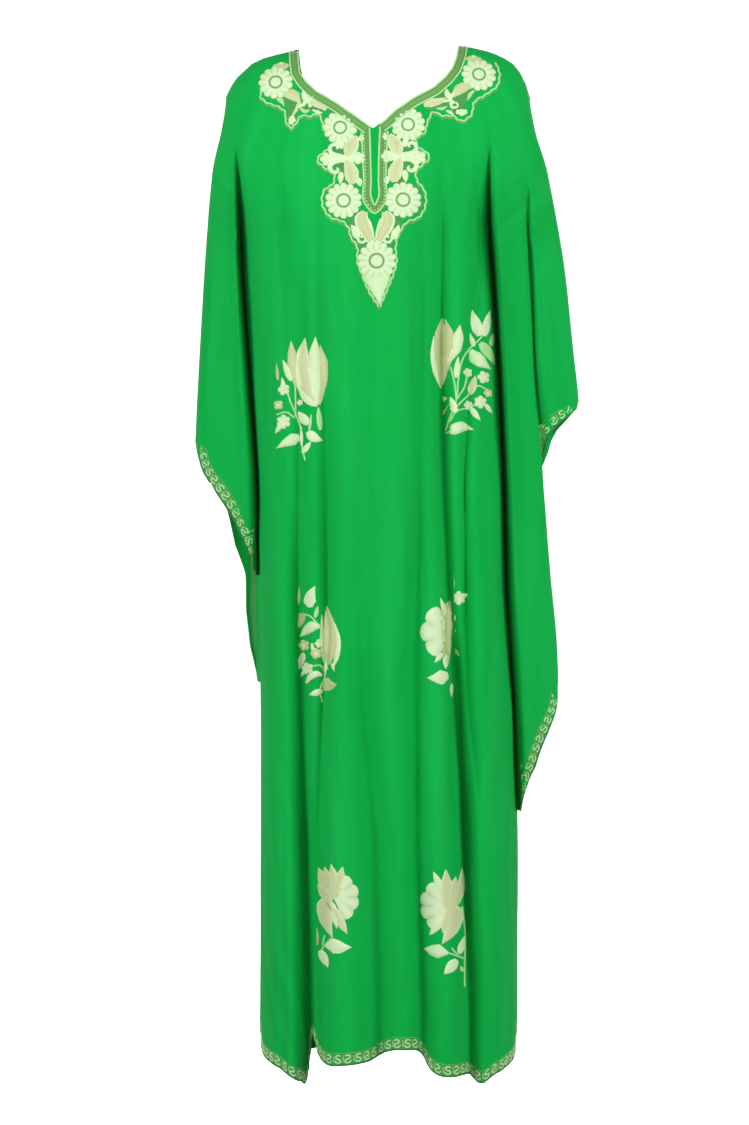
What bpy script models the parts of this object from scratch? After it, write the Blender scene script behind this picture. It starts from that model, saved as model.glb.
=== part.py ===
"""A long kaftan with hanging wings, filled out as when it is worn.

Metres, +Z up. X runs across the garment and the front faces -Y. The origin is in the
middle of the shoulder line, where the wearer's shoulders hold the garment up.

Each panel, front and back, is one cloth laid out as a grid. Rows follow the drop below
the origin. Columns follow the folds, so a fold keeps its column from top to hem:

    -2 left arm fold, 0 left side seam, 1 to 7 the valleys of the folds on the body,
    8 right side seam, 10 right arm fold.

Horizontal sections through the hanging cloth give the points. The tables below are in
centimetres, except where a name ends in _mm. "Drop" is the distance below the origin,
and "out" is how far the cloth stands from the plane of the side seams, to the front on
the front panel and to the back on the back panel.
"""

from typing import NamedTuple

import bmesh
import bpy
import numpy as np

CM, MM = 0.01, 0.001

WALL = 1.2 * MM
SEAM_GAP = 0.3 * MM
TRIM_THICKNESS = 1.0 * MM

LEFT_FOLD, LEFT_SEAM, RIGHT_SEAM, RIGHT_FOLD = -2.0, 0.0, 8.0, 10.0
NECK_LEFT, NECK_TIP, NECK_RIGHT = 1.8, 4.42, 6.5  # columns of the neckline's corners
BAND_WIDTH = 1.4 * CM

BODY_ROUNDNESS = 2.4  # exponent of the oval body section
SHOULDER_ROUNDNESS = 2.6  # and of the section above the side seams
OPEN_ABOVE, SEWN_BELOW = 13.0, 30.0  # drop: the armhole is open, the side is sewn
SEAM_INSET = 0.3 * CM  # the cloth turns into a side seam on this radius
SEAM_RISE = 0.6 * CM
SEAM_TURN = 0.8 * CM
FOLD_RELEASE = 2.5 * CM  # folds fade out this close to a side seam
VALLEY_SHARPNESS = 1.3  # exponent: 1 gives a valley a sharp floor, 2 a round one
VALLEY_FALL = 0.8  # how fast a valley's depth dies away on both sides, at one width
CROWDING = 3.2  # widths from a valley within which columns are drawn towards it
MOST_CROWDED = 0.75
RING_POINTS = 361  # the body's oval is measured along this many points
NECK_SPREAD = 1.1 * CM  # columns run outward beside the steep parts of the neckline
NECK_SPREAD_COLUMNS = 0.9
NECK_TIP_MITER = 1.2  # the neck band is this much wider across its point
SHOULDER_RADII = ((0.0, 12.0, 20.0), (9.0, 8.0, 5.0))  # cm from the middle, radius in cm
LONGEST_MITER = 1.6  # a wall is measured square to its faces up to this lengthening at a bend
CORNER_RISE = 0.6  # direction of a corner with no level direction of its own: up by this to 1 across
SHARP_ANGLE = 0.9  # radians


class Girth(NamedTuple):
    """The body at one drop: where its side seams hang and how far it stands out."""

    drop: float
    left: float
    right: float
    front: float
    back: float


GIRTHS = (
    Girth(0, -19.6, 15.2, 8.0, 7.0),
    Girth(13, -19.6, 15.2, 10.0, 9.8),
    Girth(24, -19.2, 15.4, 12.9, 11.2),
    Girth(31, -19.0, 16.0, 13.0, 11.2),
    Girth(45, -18.0, 16.9, 12.6, 10.8),
    Girth(61, -16.8, 17.6, 12.7, 11.2),
    Girth(77, -16.7, 18.0, 12.9, 11.6),
    Girth(93, -16.4, 19.0, 13.2, 12.0),
    Girth(110, -16.4, 19.6, 13.6, 12.4),
    Girth(146, -16.6, 19.5, 14.4, 13.2),
)

FOLD_DROPS = (13, 24, 31, 45, 61, 77, 93, 110, 133)


class Fold(NamedTuple):
    """A valley in the cloth: its place and depth at each of FOLD_DROPS, and width."""

    x: tuple
    depth_mm: tuple
    width_mm: float


FRONT_FOLDS = (
    Fold(
        (-13.5, -13.3, -13.2, -13.1, -13.1, -13.1, -13.1, -13.2, -13.2),
        (0, 6, 6, 3, 0, 0, 0, 4, 6),
        12,
    ),
    Fold(
        (-10.4, -10.4, -10.4, -11.0, -11.0, -11.1, -10.7, -10.2, -9.7),
        (0, 4, 6, 9, 18, 22, 26, 32, 36),
        14,
    ),
    Fold(
        (-9.0, -8.7, -8.3, -7.7, -7.2, -7.0, -7.7, -7.9, -7.9),
        (0, 6, 8, 10, 14, 14, 10, 6, 2),
        12,
    ),
    Fold(
        (-4.8, -4.8, -4.8, -4.2, -3.1, -2.5, -1.9, -0.5, 0.0),
        (0, 2, 6, 8, 8, 10, 14, 22, 22),
        17,
    ),
    Fold(
        (6.7, 6.7, 6.0, 5.8, 5.6, 5.3, 5.3, 5.4, 6.2),
        (0, 6, 8, 10, 12, 14, 18, 20, 22),
        14,
    ),
    Fold(
        (9.0, 9.0, 8.9, 9.0, 9.4, 9.9, 11.2, 11.9, 12.8),
        (3, 12, 14, 16, 20, 22, 28, 30, 26),
        12,
    ),
    Fold(
        (13.2, 13.6, 14.2, 12.6, 11.8, 12.2, 12.6, 14.4, 15.4),
        (2, 10, 12, 8, 14, 16, 10, 0, 3),
        12,
    ),
)

BACK_FOLDS = (
    Fold(
        (-12.6, -12.5, -12.4, -12.2, -12.0, -12.0, -12.2, -12.4, -12.6),
        (0, 3, 5, 8, 12, 16, 18, 20, 20),
        12,
    ),
    Fold(
        (-9.2, -9.0, -8.8, -8.4, -8.0, -7.8, -7.8, -7.9, -8.0),
        (0, 5, 8, 10, 14, 16, 18, 20, 18),
        12,
    ),
    Fold(
        (-4.4, -4.3, -4.2, -4.0, -3.6, -3.3, -3.2, -3.1, -3.0),
        (0, 0, 2, 4, 8, 12, 18, 22, 24),
        14,
    ),
    Fold(
        (0.4, 0.5, 0.6, 0.8, 1.0, 1.2, 1.4, 1.5, 1.6),
        (0, 2, 4, 6, 8, 12, 16, 18, 20),
        12,
    ),
    Fold(
        (4.6, 4.7, 4.8, 5.0, 5.3, 5.6, 5.9, 6.2, 6.4),
        (0, 4, 6, 8, 10, 14, 18, 20, 22),
        12,
    ),
    Fold(
        (9.0, 9.2, 9.4, 9.6, 10.0, 10.3, 10.7, 11.0, 11.2),
        (0, 5, 8, 10, 14, 18, 22, 24, 24),
        12,
    ),
    Fold(
        (12.6, 12.8, 13.0, 13.4, 13.9, 14.4, 14.9, 15.3, 15.6),
        (0, 3, 4, 6, 8, 10, 12, 14, 16),
        12,
    ),
)


class WingSection(NamedTuple):
    """One layer of a wing at one drop: x and "out" of its points, from the side seam on."""

    drop: float
    crest: tuple
    flank: tuple
    valley: tuple
    outer: tuple
    fold_x: float


FRONT_WING_LEFT = (
    WingSection(13, (-20.5, 5.5), (-21.0, 5.2), (-21.4, 4.6), (-21.9, 3.4), -22.5),
    WingSection(24, (-20.6, 5.2), (-21.3, 4.8), (-21.9, 4.0), (-22.6, 3.2), -23.8),
    WingSection(31, (-20.9, 5.2), (-21.8, 4.6), (-22.5, 3.8), (-23.3, 3.2), -24.3),
    WingSection(45, (-21.2, 4.7), (-22.4, 4.2), (-23.3, 3.7), (-24.2, 2.9), -25.1),
    WingSection(55, (-21.2, 4.2), (-22.5, 3.9), (-23.5, 3.3), (-24.6, 2.4), -25.6),
    WingSection(65, (-20.6, 3.6), (-22.2, 3.5), (-23.4, 3.0), (-24.6, 2.2), -25.6),
    WingSection(74, (-20.0, 2.6), (-22.0, 2.8), (-23.3, 2.4), (-24.5, 1.9), -25.6),
)
FRONT_WING_RIGHT = (
    WingSection(13, (17.6, 7.2), (19.2, 6.2), (20.2, 5.2), (21.3, 4.2), 22.8),
    WingSection(24, (17.9, 6.6), (20.0, 5.0), (20.6, 3.0), (22.6, 4.6), 25.0),
    WingSection(31, (18.4, 6.4), (20.6, 4.6), (21.1, 2.4), (23.4, 4.8), 26.2),
    WingSection(45, (19.3, 5.8), (21.5, 4.2), (21.7, 1.8), (24.6, 4.6), 27.6),
    WingSection(50, (19.6, 5.6), (22.0, 4.0), (22.1, 1.6), (25.3, 4.3), 28.3),
    WingSection(58, (20.2, 5.2), (23.2, 3.4), (22.7, 1.2), (25.0, 3.4), 27.5),
    WingSection(72, (20.6, 4.6), (23.9, 2.6), (22.2, 0.7), (24.0, 1.5), 26.0),
    WingSection(86, (21.9, 4.2), (25.4, 2.2), (23.8, 0.6), (25.0, 1.2), 26.0),
    WingSection(98, (22.2, 3.4), (25.0, 2.0), (24.0, 0.6), (25.0, 1.2), 26.0),
    WingSection(107, (21.8, 2.8), (24.5, 1.8), (23.5, 0.6), (25.0, 1.2), 26.0),
)
BACK_WING_LEFT = (
    WingSection(13, (-20.5, 5.0), (-21.1, 4.5), (-21.5, 3.8), (-22.0, 2.8), -22.5),
    WingSection(24, (-20.8, 4.8), (-21.6, 4.4), (-22.2, 3.8), (-22.9, 3.0), -23.8),
    WingSection(31, (-21.0, 4.6), (-21.9, 4.2), (-22.6, 3.6), (-23.4, 2.9), -24.3),
    WingSection(45, (-21.2, 4.2), (-22.4, 3.9), (-23.3, 3.4), (-24.2, 2.6), -25.1),
    WingSection(55, (-21.0, 4.0), (-22.4, 3.7), (-23.4, 3.2), (-24.6, 2.3), -25.6),
    WingSection(65, (-19.0, 3.2), (-20.4, 3.0), (-21.4, 2.4), (-23.0, 2.0), -25.6),
    WingSection(72, (-18.2, 2.8), (-19.4, 2.4), (-20.4, 1.8), (-22.0, 1.6), -25.0),
    WingSection(78, (-17.9, 2.4), (-18.7, 1.9), (-19.4, 1.3), (-21.0, 1.4), -24.0),
    WingSection(89, (-17.4, 1.6), (-17.9, 1.1), (-18.4, 0.8), (-20.0, 1.2), -23.0),
)
BACK_WING_RIGHT = (
    WingSection(13, (17.6, 7.0), (19.2, 6.0), (20.2, 5.0), (21.3, 4.0), 22.8),
    WingSection(24, (18.0, 6.2), (19.8, 5.0), (20.9, 3.8), (22.8, 4.0), 25.0),
    WingSection(31, (18.6, 6.0), (20.4, 4.8), (21.6, 3.2), (23.6, 4.0), 26.2),
    WingSection(45, (19.4, 5.4), (21.4, 4.2), (22.6, 2.8), (24.8, 3.8), 27.6),
    WingSection(50, (19.6, 5.2), (21.8, 4.0), (23.0, 2.6), (25.2, 3.6), 28.3),
    WingSection(58, (19.8, 4.8), (21.8, 3.6), (23.0, 2.6), (25.0, 3.0), 27.5),
    WingSection(72, (20.0, 4.2), (21.8, 3.2), (22.8, 2.4), (24.0, 2.0), 26.0),
    WingSection(86, (20.8, 3.6), (22.6, 2.8), (23.6, 2.0), (25.0, 1.6), 26.0),
    WingSection(104, (21.0, 2.4), (22.6, 1.8), (23.4, 1.4), (25.0, 1.2), 26.0),
)
WING_STOPS = (0.0, 0.12, 0.55, 0.82, 1.0, 1.5, 1.88, 2.0)  # a section's points, in columns
WING_INNER = (0.3, 0.9)  # the second point, from the seam: across and out
WING_TIP = (0.25, 1.5)  # the last but one, from the arm fold: across and out


class Reach(NamedTuple):
    """How far a wing reaches from its seam at one drop, in columns: its slanting hem."""

    drop: float
    columns: float


REACH_FRONT_LEFT = (
    Reach(55.0, 2.0), Reach(58.5, 1.6), Reach(61.0, 1.04), Reach(65.7, 0.64), Reach(69.7, 0.36),
    Reach(73.9, 0.14),
)
REACH_FRONT_RIGHT = (
    Reach(49.5, 2.0), Reach(52.0, 1.72), Reach(55.0, 1.35), Reach(58.5, 1.03), Reach(61.0, 1.0),
    Reach(84.0, 0.98), Reach(88.9, 0.92), Reach(91.0, 0.83), Reach(94.5, 0.71), Reach(100.5, 0.53),
    Reach(106.8, 0.14),
)
REACH_BACK_LEFT = (
    Reach(55.0, 2.0), Reach(58.5, 1.6), Reach(61.0, 1.04), Reach(65.7, 0.93), Reach(69.7, 0.89),
    Reach(73.9, 0.7), Reach(79.0, 0.8), Reach(84.0, 0.7), Reach(88.9, 0.16),
)
REACH_BACK_RIGHT = (
    Reach(49.5, 2.0), Reach(52.0, 1.7), Reach(55.0, 1.35), Reach(58.5, 1.03), Reach(61.0, 1.0),
    Reach(84.0, 0.92), Reach(94.5, 0.68), Reach(100.5, 0.42), Reach(106.8, 0.14),
)
OUTER_LOBE_ENDS = 1.05  # a wing this narrow, in columns, has lost its outer lobe


class Rim(NamedTuple):
    """A point on the cloth's edge: its column, its place across and its drop."""

    column: float
    x: float
    drop: float


SHOULDER_LEFT = (
    Rim(-2.0, -21.3, 7.1), Rim(-1.2, -21.0, 6.3), Rim(-0.6, -20.5, 5.4), Rim(0.0, -19.7, 4.3),
    Rim(0.3, -18.7, 3.4), Rim(0.6, -17.6, 2.4), Rim(1.0, -16.0, 1.65), Rim(1.4, -14.2, 1.15),
    Rim(NECK_LEFT, -12.5, 0.75),
)
SHOULDER_RIGHT = (
    Rim(NECK_RIGHT, 12.6, 0.05), Rim(7.0, 13.9, 0.35), Rim(7.5, 15.2, 0.65), Rim(8.0, 16.4, 1.05),
    Rim(8.4, 17.6, 1.6), Rim(8.8, 18.9, 2.4), Rim(9.2, 19.8, 3.5), Rim(9.6, 20.6, 5.0),
    Rim(10.0, 21.3, 7.1),
)
FRONT_NECKLINE = (
    Rim(NECK_LEFT, -11.1, 0.4), Rim(2.1, -10.95, 2.6), Rim(2.4, -10.7, 4.6), Rim(2.7, -9.8, 6.0),
    Rim(3.0, -8.4, 7.4), Rim(3.5, -5.4, 9.2), Rim(4.0, -3.1, 10.9), Rim(NECK_TIP, -0.7, 12.7),
    Rim(4.7, 0.9, 11.5), Rim(5.0, 2.2, 10.2), Rim(5.4, 4.6, 8.5), Rim(5.8, 7.6, 6.8),
    Rim(6.0, 9.2, 5.3), Rim(6.2, 10.2, 3.9), Rim(6.35, 10.8, 2.2), Rim(NECK_RIGHT, 11.2, -0.1),
)
BACK_NECKLINE = (
    Rim(NECK_LEFT, -11.1, 0.4), Rim(2.1, -10.9, 2.4), Rim(2.5, -10.2, 4.8), Rim(3.0, -8.6, 7.0),
    Rim(3.5, -6.0, 8.8), Rim(4.0, -2.6, 10.0), Rim(NECK_TIP, 0.3, 10.2), Rim(5.0, 3.4, 9.8),
    Rim(5.5, 6.4, 8.4), Rim(5.9, 8.6, 6.8), Rim(6.2, 10.2, 4.4), Rim(6.35, 10.8, 2.2),
    Rim(NECK_RIGHT, 11.2, -0.1),
)
FRONT_HEM = (
    (0.0, 137.2), (0.35, 140.2), (1.05, 142.9), (1.85, 143.9), (2.0, 142.2), (2.15, 140.4),
    (3.35, 140.6), (3.8, 140.0), (4.5, 138.4), (4.95, 139.2), (5.2, 141.2), (5.95, 142.3), (6.3, 143.2),
    (7.0, 142.8), (7.6, 140.5), (8.0, 137.2),
)
BACK_HEM = (
    (0.0, 137.2), (0.4, 140.6), (1.0, 142.2), (2.0, 141.6), (3.0, 142.0), (4.0, 141.0), (5.0, 141.6),
    (6.0, 142.2), (7.0, 141.8), (7.6, 140.6), (8.0, 137.2),
)

SHOULDER_SPAN = 18.0  # drop: above it rows run out of the shoulders and neckline
HEM_SPAN = 122.0  # drop: below it rows run into the rounded hem
SHOULDER_STEPS = (0.0, 0.045, 0.14, 0.3, 0.52, 0.76)  # rows above SHOULDER_SPAN, as shares
ROW_DROPS = (
    SHOULDER_SPAN, 21.2, 22.3, 27.0, 32.0, 38.0, 44.0, 49.5, 52.0, 55.0, 58.5, 61.0, 65.7, 69.7, 73.9,
    79.0, 84.0, 88.9, 94.5, 100.5, 106.8, 114.0, HEM_SPAN,
)
HEM_STEPS = (0.35, 0.65, 0.87, 1.0)

SLIT_X = -0.3
SLIT_DIPS = {21.2: 2.0, 22.3: 2.0}  # these two rows point down at the slit
SLIT_HALF_WIDTH = 1.63
SLIT_COLUMNS = (4.326, 4.382, NECK_TIP, 4.452, 4.512)  # band, slit, middle, slit, band

FRONT_COLUMNS = (
    0.0, 0.1, 0.3, 0.58, 0.86, 1.0, 1.14, 1.45, NECK_LEFT, 1.9, 2.0, 2.14, 2.4, 2.65, 2.86, 3.0, 3.14,
    3.38, 3.65, 3.86, 4.0, 4.13, 4.24, *SLIT_COLUMNS, 4.72, 4.88, 5.0, 5.14, 5.38, 5.62, 5.86, 6.0,
    6.16, NECK_RIGHT, 6.86, 7.0, 7.14, 7.4, 7.7, 7.9, 8.0,
)
BACK_COLUMNS = (
    0.0, 0.1, 0.3, 0.58, 0.86, 1.0, 1.14, 1.45, NECK_LEFT, 1.9, 2.0, 2.14, 2.5, 2.86, 3.0, 3.14, 3.5,
    3.86, 4.0, 4.14, 4.5, 4.86, 5.0, 5.14, 5.5, 5.86, 6.0, 6.16, NECK_RIGHT, 6.86, 7.0, 7.14, 7.4, 7.7,
    7.9, 8.0,
)
WING_COLUMNS = (0.0, 0.12, 0.32, 0.58, 0.82, 1.0, 1.2, 1.5, 1.75, 1.92, 2.0)

GREEN = (0.012, 0.36, 0.045, 1.0)
CREAM = (0.62, 0.66, 0.36, 1.0)


# ---- curves ----


def smooth(share):
    """Runs from 0 to 1 with level ends as share does."""
    share = np.clip(share, 0.0, 1.0)
    return share * share * (3.0 - 2.0 * share)


def eased(at, stops, readings, blur=3.0):
    """A table read between its stops, with its corners rounded over blur on each side."""
    offsets = np.linspace(-blur, blur, 5)
    return float(np.mean([np.interp(at + offset, stops, readings) for offset in offsets]))


def through(points, stops, at):
    """A smooth curve through points, which it passes at stops."""
    points, stops, at = np.asarray(points, float), np.asarray(stops, float), np.asarray(at, float)
    slope = np.gradient(points, stops, axis=0)
    part = np.clip(np.searchsorted(stops, at, side="right") - 1, 0, len(stops) - 2)
    span = stops[part + 1] - stops[part]
    t = ((at - stops[part]) / span)[:, None]
    span = span[:, None]
    return (
        (1 + 2 * t) * (1 - t) ** 2 * points[part]
        + t * (1 - t) ** 2 * span * slope[part]
        + t * t * (3 - 2 * t) * points[part + 1]
        + t * t * (t - 1) * span * slope[part + 1]
    )


def rim_at(rims, column):
    """Place across and drop, in metres, on an edge given by its rims."""
    columns = [rim.column for rim in rims]
    across = np.interp(column, columns, [rim.x for rim in rims])
    return np.array([across, np.interp(column, columns, [rim.drop for rim in rims])]) * CM


# ---- one panel ----


class Panel:
    """The front or the back cloth, from one arm fold across to the other."""

    def __init__(self, side, folds, wings, reaches, neckline, hem, columns, dips):
        self.side = side  # -1 for the front, which faces -Y, and 1 for the back
        self.folds = folds
        self.left_wing, self.right_wing = wings
        self.left_reach, self.right_reach = reaches
        self.neckline = neckline
        self.hem = hem
        self.dips = dips
        self.body_columns = columns

    def girth(self, drop):
        """Seams across and how far the body stands out at a drop, in metres."""
        drops = [row.drop for row in GIRTHS]
        depth = [row.front if self.side < 0 else row.back for row in GIRTHS]
        left = eased(drop, drops, [row.left for row in GIRTHS])
        right = eased(drop, drops, [row.right for row in GIRTHS])
        return left * CM, right * CM, eased(drop, drops, depth) * CM

    def sewn(self, drop):
        """1 where the side is sewn, 0 where the armhole is open, and between them as it closes."""
        return float(smooth((drop - OPEN_ABOVE) / (SEWN_BELOW - OPEN_ABOVE)))

    def body(self, columns, drop):
        """Across and out, in metres, of the sewn body at one drop, for columns 0 to 8."""
        left, right, depth = self.girth(drop)
        middle, half = (left + right) / 2, (right - left) / 2
        turn = np.linspace(0.0, np.pi, RING_POINTS)
        ring = np.stack(
            [
                middle - half * np.sign(np.cos(turn)) * np.abs(np.cos(turn)) ** (2 / BODY_ROUNDNESS),
                depth * np.sin(turn).clip(0.0) ** (2 / BODY_ROUNDNESS),
            ],
            axis=1,
        )
        along = np.concatenate([[0.0], np.cumsum(np.linalg.norm(np.diff(ring, axis=0), axis=1))])
        total = along[-1]
        valleys = np.array([eased(drop, FOLD_DROPS, fold.x) * CM for fold in self.folds])
        depths = np.array([eased(drop, FOLD_DROPS, fold.depth_mm) * MM for fold in self.folds])
        widths = np.array([fold.width_mm for fold in self.folds]) * MM
        at_valley = np.interp(valleys, ring[:, 0], along)
        knots = np.concatenate([[0.0], at_valley, [total]])

        part = np.clip(np.floor(columns).astype(int), 0, len(knots) - 2)
        length = knots[part + 1] - knots[part]
        crowd = np.clip(1.0 - CROWDING * widths.mean() / length, 0.0, MOST_CROWDED)
        share = columns - part
        share = share - crowd * np.sin(2 * np.pi * share) / (2 * np.pi)
        place = knots[part] + length * share

        release = smooth(np.minimum(place, total - place) / FOLD_RELEASE)
        steps = (place[:, None] - at_valley) / widths
        fall = np.exp(-VALLEY_FALL * np.abs(steps) ** VALLEY_SHARPNESS)

        point = np.stack([np.interp(place, along, ring[:, axis]) for axis in (0, 1)], axis=1)
        point[:, 1] -= (depths * fall).sum(axis=1) * release

        from_seam = np.minimum(place, total - place)
        inward = 1.0 - 2.0 * place / total
        turned = smooth(from_seam / SEAM_TURN)
        point[:, 0] += inward * SEAM_INSET * turned
        point[:, 1] += WALL + SEAM_GAP / 2 + (SEAM_RISE - WALL) * turned
        return point

    def wing(self, sections, columns, drop, seam):
        """Across and out, in metres, of one layer of a wing, for columns 0 to 2 from its seam."""
        drops = [row.drop for row in sections]
        outward = 1.0 if seam > 0 else -1.0
        edge = WALL + SEAM_GAP / 2

        def read(pick):
            return eased(drop, drops, [pick(row) for row in sections]) * CM

        fold = read(lambda row: row.fold_x)
        points = [(seam, edge), (seam + outward * WING_INNER[0] * CM, WING_INNER[1] * CM)]
        points += [
            (read(lambda row, i=i: row[i][0]), read(lambda row, i=i: row[i][1])) for i in range(1, 5)
        ]
        points += [(fold - outward * WING_TIP[0] * CM, WING_TIP[1] * CM), (fold, SEAM_GAP / 2)]
        return through(points, WING_STOPS, columns)

    def section(self, columns, drop):
        """Across and out, in metres, of the whole sewn section at one drop."""
        columns = np.asarray(columns, float)
        left, right, _ = self.girth(drop)
        point = np.zeros((len(columns), 2))
        on_left, on_right = columns < LEFT_SEAM, columns > RIGHT_SEAM
        body = ~(on_left | on_right)
        point[body] = self.body(columns[body], drop)
        if on_left.any():
            point[on_left] = self.wing(self.left_wing, LEFT_SEAM - columns[on_left], drop, left)
        if on_right.any():
            point[on_right] = self.wing(self.right_wing, columns[on_right] - RIGHT_SEAM, drop, right)
        return point

    def edge(self, column):
        """The top edge under the neck band: across and drop, in metres."""
        if column <= NECK_LEFT:
            return rim_at(SHOULDER_LEFT, column)
        if column >= NECK_RIGHT:
            return rim_at(SHOULDER_RIGHT, column)
        nudge = 0.03  # columns
        before, after = rim_at(self.neckline, column - nudge), rim_at(self.neckline, column + nudge)
        across, down = (after - before) / np.linalg.norm(after - before)
        miter = NECK_TIP_MITER if column == NECK_TIP and self.side < 0 else 1.0
        return rim_at(self.neckline, column) + np.array([-down, across]) * BAND_WIDTH * miter

    def rounding(self, across, drop):
        """How much of its depth the cloth has this far below the shoulder line, 0 to 1."""
        shoulders = SHOULDER_LEFT + SHOULDER_RIGHT
        line = np.interp(across / CM, [rim.x for rim in shoulders], [rim.drop for rim in shoulders])
        radius = np.interp(abs(across / CM), *SHOULDER_RADII)
        share = float(np.clip((drop - line) / radius, 0.0, 1.0))
        return (1.0 - (1.0 - share) ** 2) ** 0.5

    def shoulder_point(self, column, share, half_width):
        """A point above SHOULDER_SPAN; share 0 is the top edge and 1 is SHOULDER_SPAN."""
        across, top = self.edge(column) if share >= 0 else rim_at(self.neckline, column)
        top /= CM
        share = max(share, 0.0)
        drop = top + (SHOULDER_SPAN - top) * share
        hung = self.section([column], max(drop, OPEN_ABOVE))[0]
        start = self.section([column], OPEN_ABOVE)[0]
        x = hung[0] + (across - start[0]) * (1.0 - float(smooth(share)))
        away = np.sin(np.pi * share**0.6) * NECK_SPREAD
        x -= away * np.exp(-(((column - NECK_LEFT) / NECK_SPREAD_COLUMNS) ** 2))
        x += away * np.exp(-(((column - NECK_RIGHT) / NECK_SPREAD_COLUMNS) ** 2))
        if column in (LEFT_FOLD, RIGHT_FOLD):
            return x, SEAM_GAP / 2, drop
        return x, self.fullness(x, hung[1], drop, half_width), drop

    def fullness(self, x, sewn_out, drop, half_width):
        """How far the cloth stands out at x, with its armhole as open as it is at this drop."""
        _, _, depth = self.girth(drop)
        rounded = max(0.0, 1.0 - abs(x / half_width) ** SHOULDER_ROUNDNESS) ** (1 / SHOULDER_ROUNDNESS)
        sewn = self.sewn(drop)
        out = sewn * sewn_out + (1.0 - sewn) * depth * rounded
        return max(SEAM_GAP / 2, out * self.rounding(x, drop))

    def columns(self, drop):
        """All columns of the grid at one drop, with the wings cut back to their hems."""

        wing = np.array(WING_COLUMNS[1:])

        def cut(rows):
            reach = np.interp(drop, [row.drop for row in rows], [row.columns for row in rows])
            return np.where(wing > 1.0, 1.0 + (wing - 1.0) * max(0.0, reach - 1.0), wing * min(1.0, reach))

        return np.concatenate(
            [LEFT_SEAM - cut(self.left_reach)[::-1], self.body_columns, RIGHT_SEAM + cut(self.right_reach)]
        )

    def hanging_row(self, drop_of):
        """Grid points of a row at or below SHOULDER_SPAN; drop_of gives each column's drop."""
        row = []
        for column in self.columns(drop_of(4.0)):
            drop = drop_of(column)
            x, out = self.section([column], drop)[0]
            if self.sewn(drop) < 1.0 and column not in (LEFT_FOLD, RIGHT_FOLD):
                left, right = self.section([LEFT_FOLD, RIGHT_FOLD], drop)[:, 0]
                out = self.fullness(x, out, drop, max(abs(left), abs(right)))
            if self.dips and drop in SLIT_DIPS:
                drop += SLIT_DIPS[drop] * max(0.0, 1.0 - abs(x / CM - SLIT_X) / SLIT_HALF_WIDTH)
            row.append((x, self.side * out, -drop * CM))
        return row

    def grid(self):
        """All outer points, row by row from the neckline down, and the top row of the band."""
        rows = []
        for share in (-1.0, *SHOULDER_STEPS):
            folds = (LEFT_FOLD, RIGHT_FOLD)
            half_width = max(abs(self.shoulder_point(fold, max(share, 0.0), 1.0)[0]) for fold in folds)
            row = []
            for column in self.columns(SHOULDER_SPAN):
                down = share if NECK_LEFT <= column <= NECK_RIGHT else max(share, 0.0)
                x, out, drop = self.shoulder_point(column, down, half_width)
                row.append((x, self.side * out, -drop * CM))
            rows.append(row)
        rows += [self.hanging_row(lambda column, drop=drop: drop) for drop in ROW_DROPS]
        hem = tuple(zip(*self.hem))
        for step in HEM_STEPS:
            rows.append(
                self.hanging_row(
                    lambda column, step=step: HEM_SPAN + (np.interp(column, *hem) - HEM_SPAN) * step
                )
            )
        return np.array(rows)


# ---- walls ----


def grid_normals(points, side):
    """Steps outward at a panel's grid points, lengthened at bends so that walls stay even."""
    diagonal = points[1:, 1:] - points[:-1, :-1]
    other = points[1:, :-1] - points[:-1, 1:]
    facing = np.cross(diagonal, other) * side
    size = np.linalg.norm(facing, axis=2, keepdims=True)
    facing = np.where(size > 1e-9, facing / size.clip(1e-9), 0.0)
    total, count = np.zeros(points.shape), np.zeros(points.shape[:2])
    for down in (0, 1):
        for across in (0, 1):
            window = (slice(down, down + facing.shape[0]), slice(across, across + facing.shape[1]))
            total[window] += facing
            count[window] += np.linalg.norm(facing, axis=2)
    normal = total / np.linalg.norm(total, axis=2, keepdims=True).clip(1e-9)
    evenness = np.linalg.norm(total, axis=2) / count.clip(1.0)
    return normal / evenness.clip(1.0 / LONGEST_MITER)[:, :, None]


def cut_side_seams(panel, points, normals):
    """Turns the directions at a panel's edges so that panels meet evenly.

    They are level along the arm folds and shoulders, and square to the sides where those are
    sewn. Returns the places of the two side seams among the grid's columns.
    """
    body = panel.body_columns
    first = len(WING_COLUMNS) - 1
    seams = (first, first + len(body) - 1)
    for row in range(points.shape[0]):
        sewn = panel.sewn(-points[row, seams[0], 2] / CM)
        for column in seams:
            blended = (1 - sewn) * normals[row, column] + sewn * np.array([0.0, panel.side, 0.0])
            normals[row, column] = blended / max(np.linalg.norm(blended), 1e-9)
    meets = np.abs(np.abs(points[:, :, 1]) - SEAM_GAP / 2) < 0.01 * MM
    for row in range(points.shape[0]):  # a wing's hem has the direction of the cloth beside it
        for way, outermost in ((1, 0), (-1, points.shape[1] - 1)):
            inner = outermost
            while np.linalg.norm(points[row, inner] - points[row, outermost]) < 0.01 * MM:
                inner += way
            if not meets[row, outermost]:
                for column in range(outermost, inner, way):
                    normals[row, column] = normals[row, inner]
    level = normals[meets] * (1.0, 0.0, 1.0)
    size = np.linalg.norm(level, axis=1, keepdims=True)
    corner = np.stack([np.sign(points[meets, 0]), 0 * size[:, 0], 0 * size[:, 0] + CORNER_RISE], axis=1)
    corner /= np.linalg.norm(corner, axis=1, keepdims=True)
    level = np.where(size > 0.2, level / size.clip(0.2), corner)
    normals[meets] = level
    return seams


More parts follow.
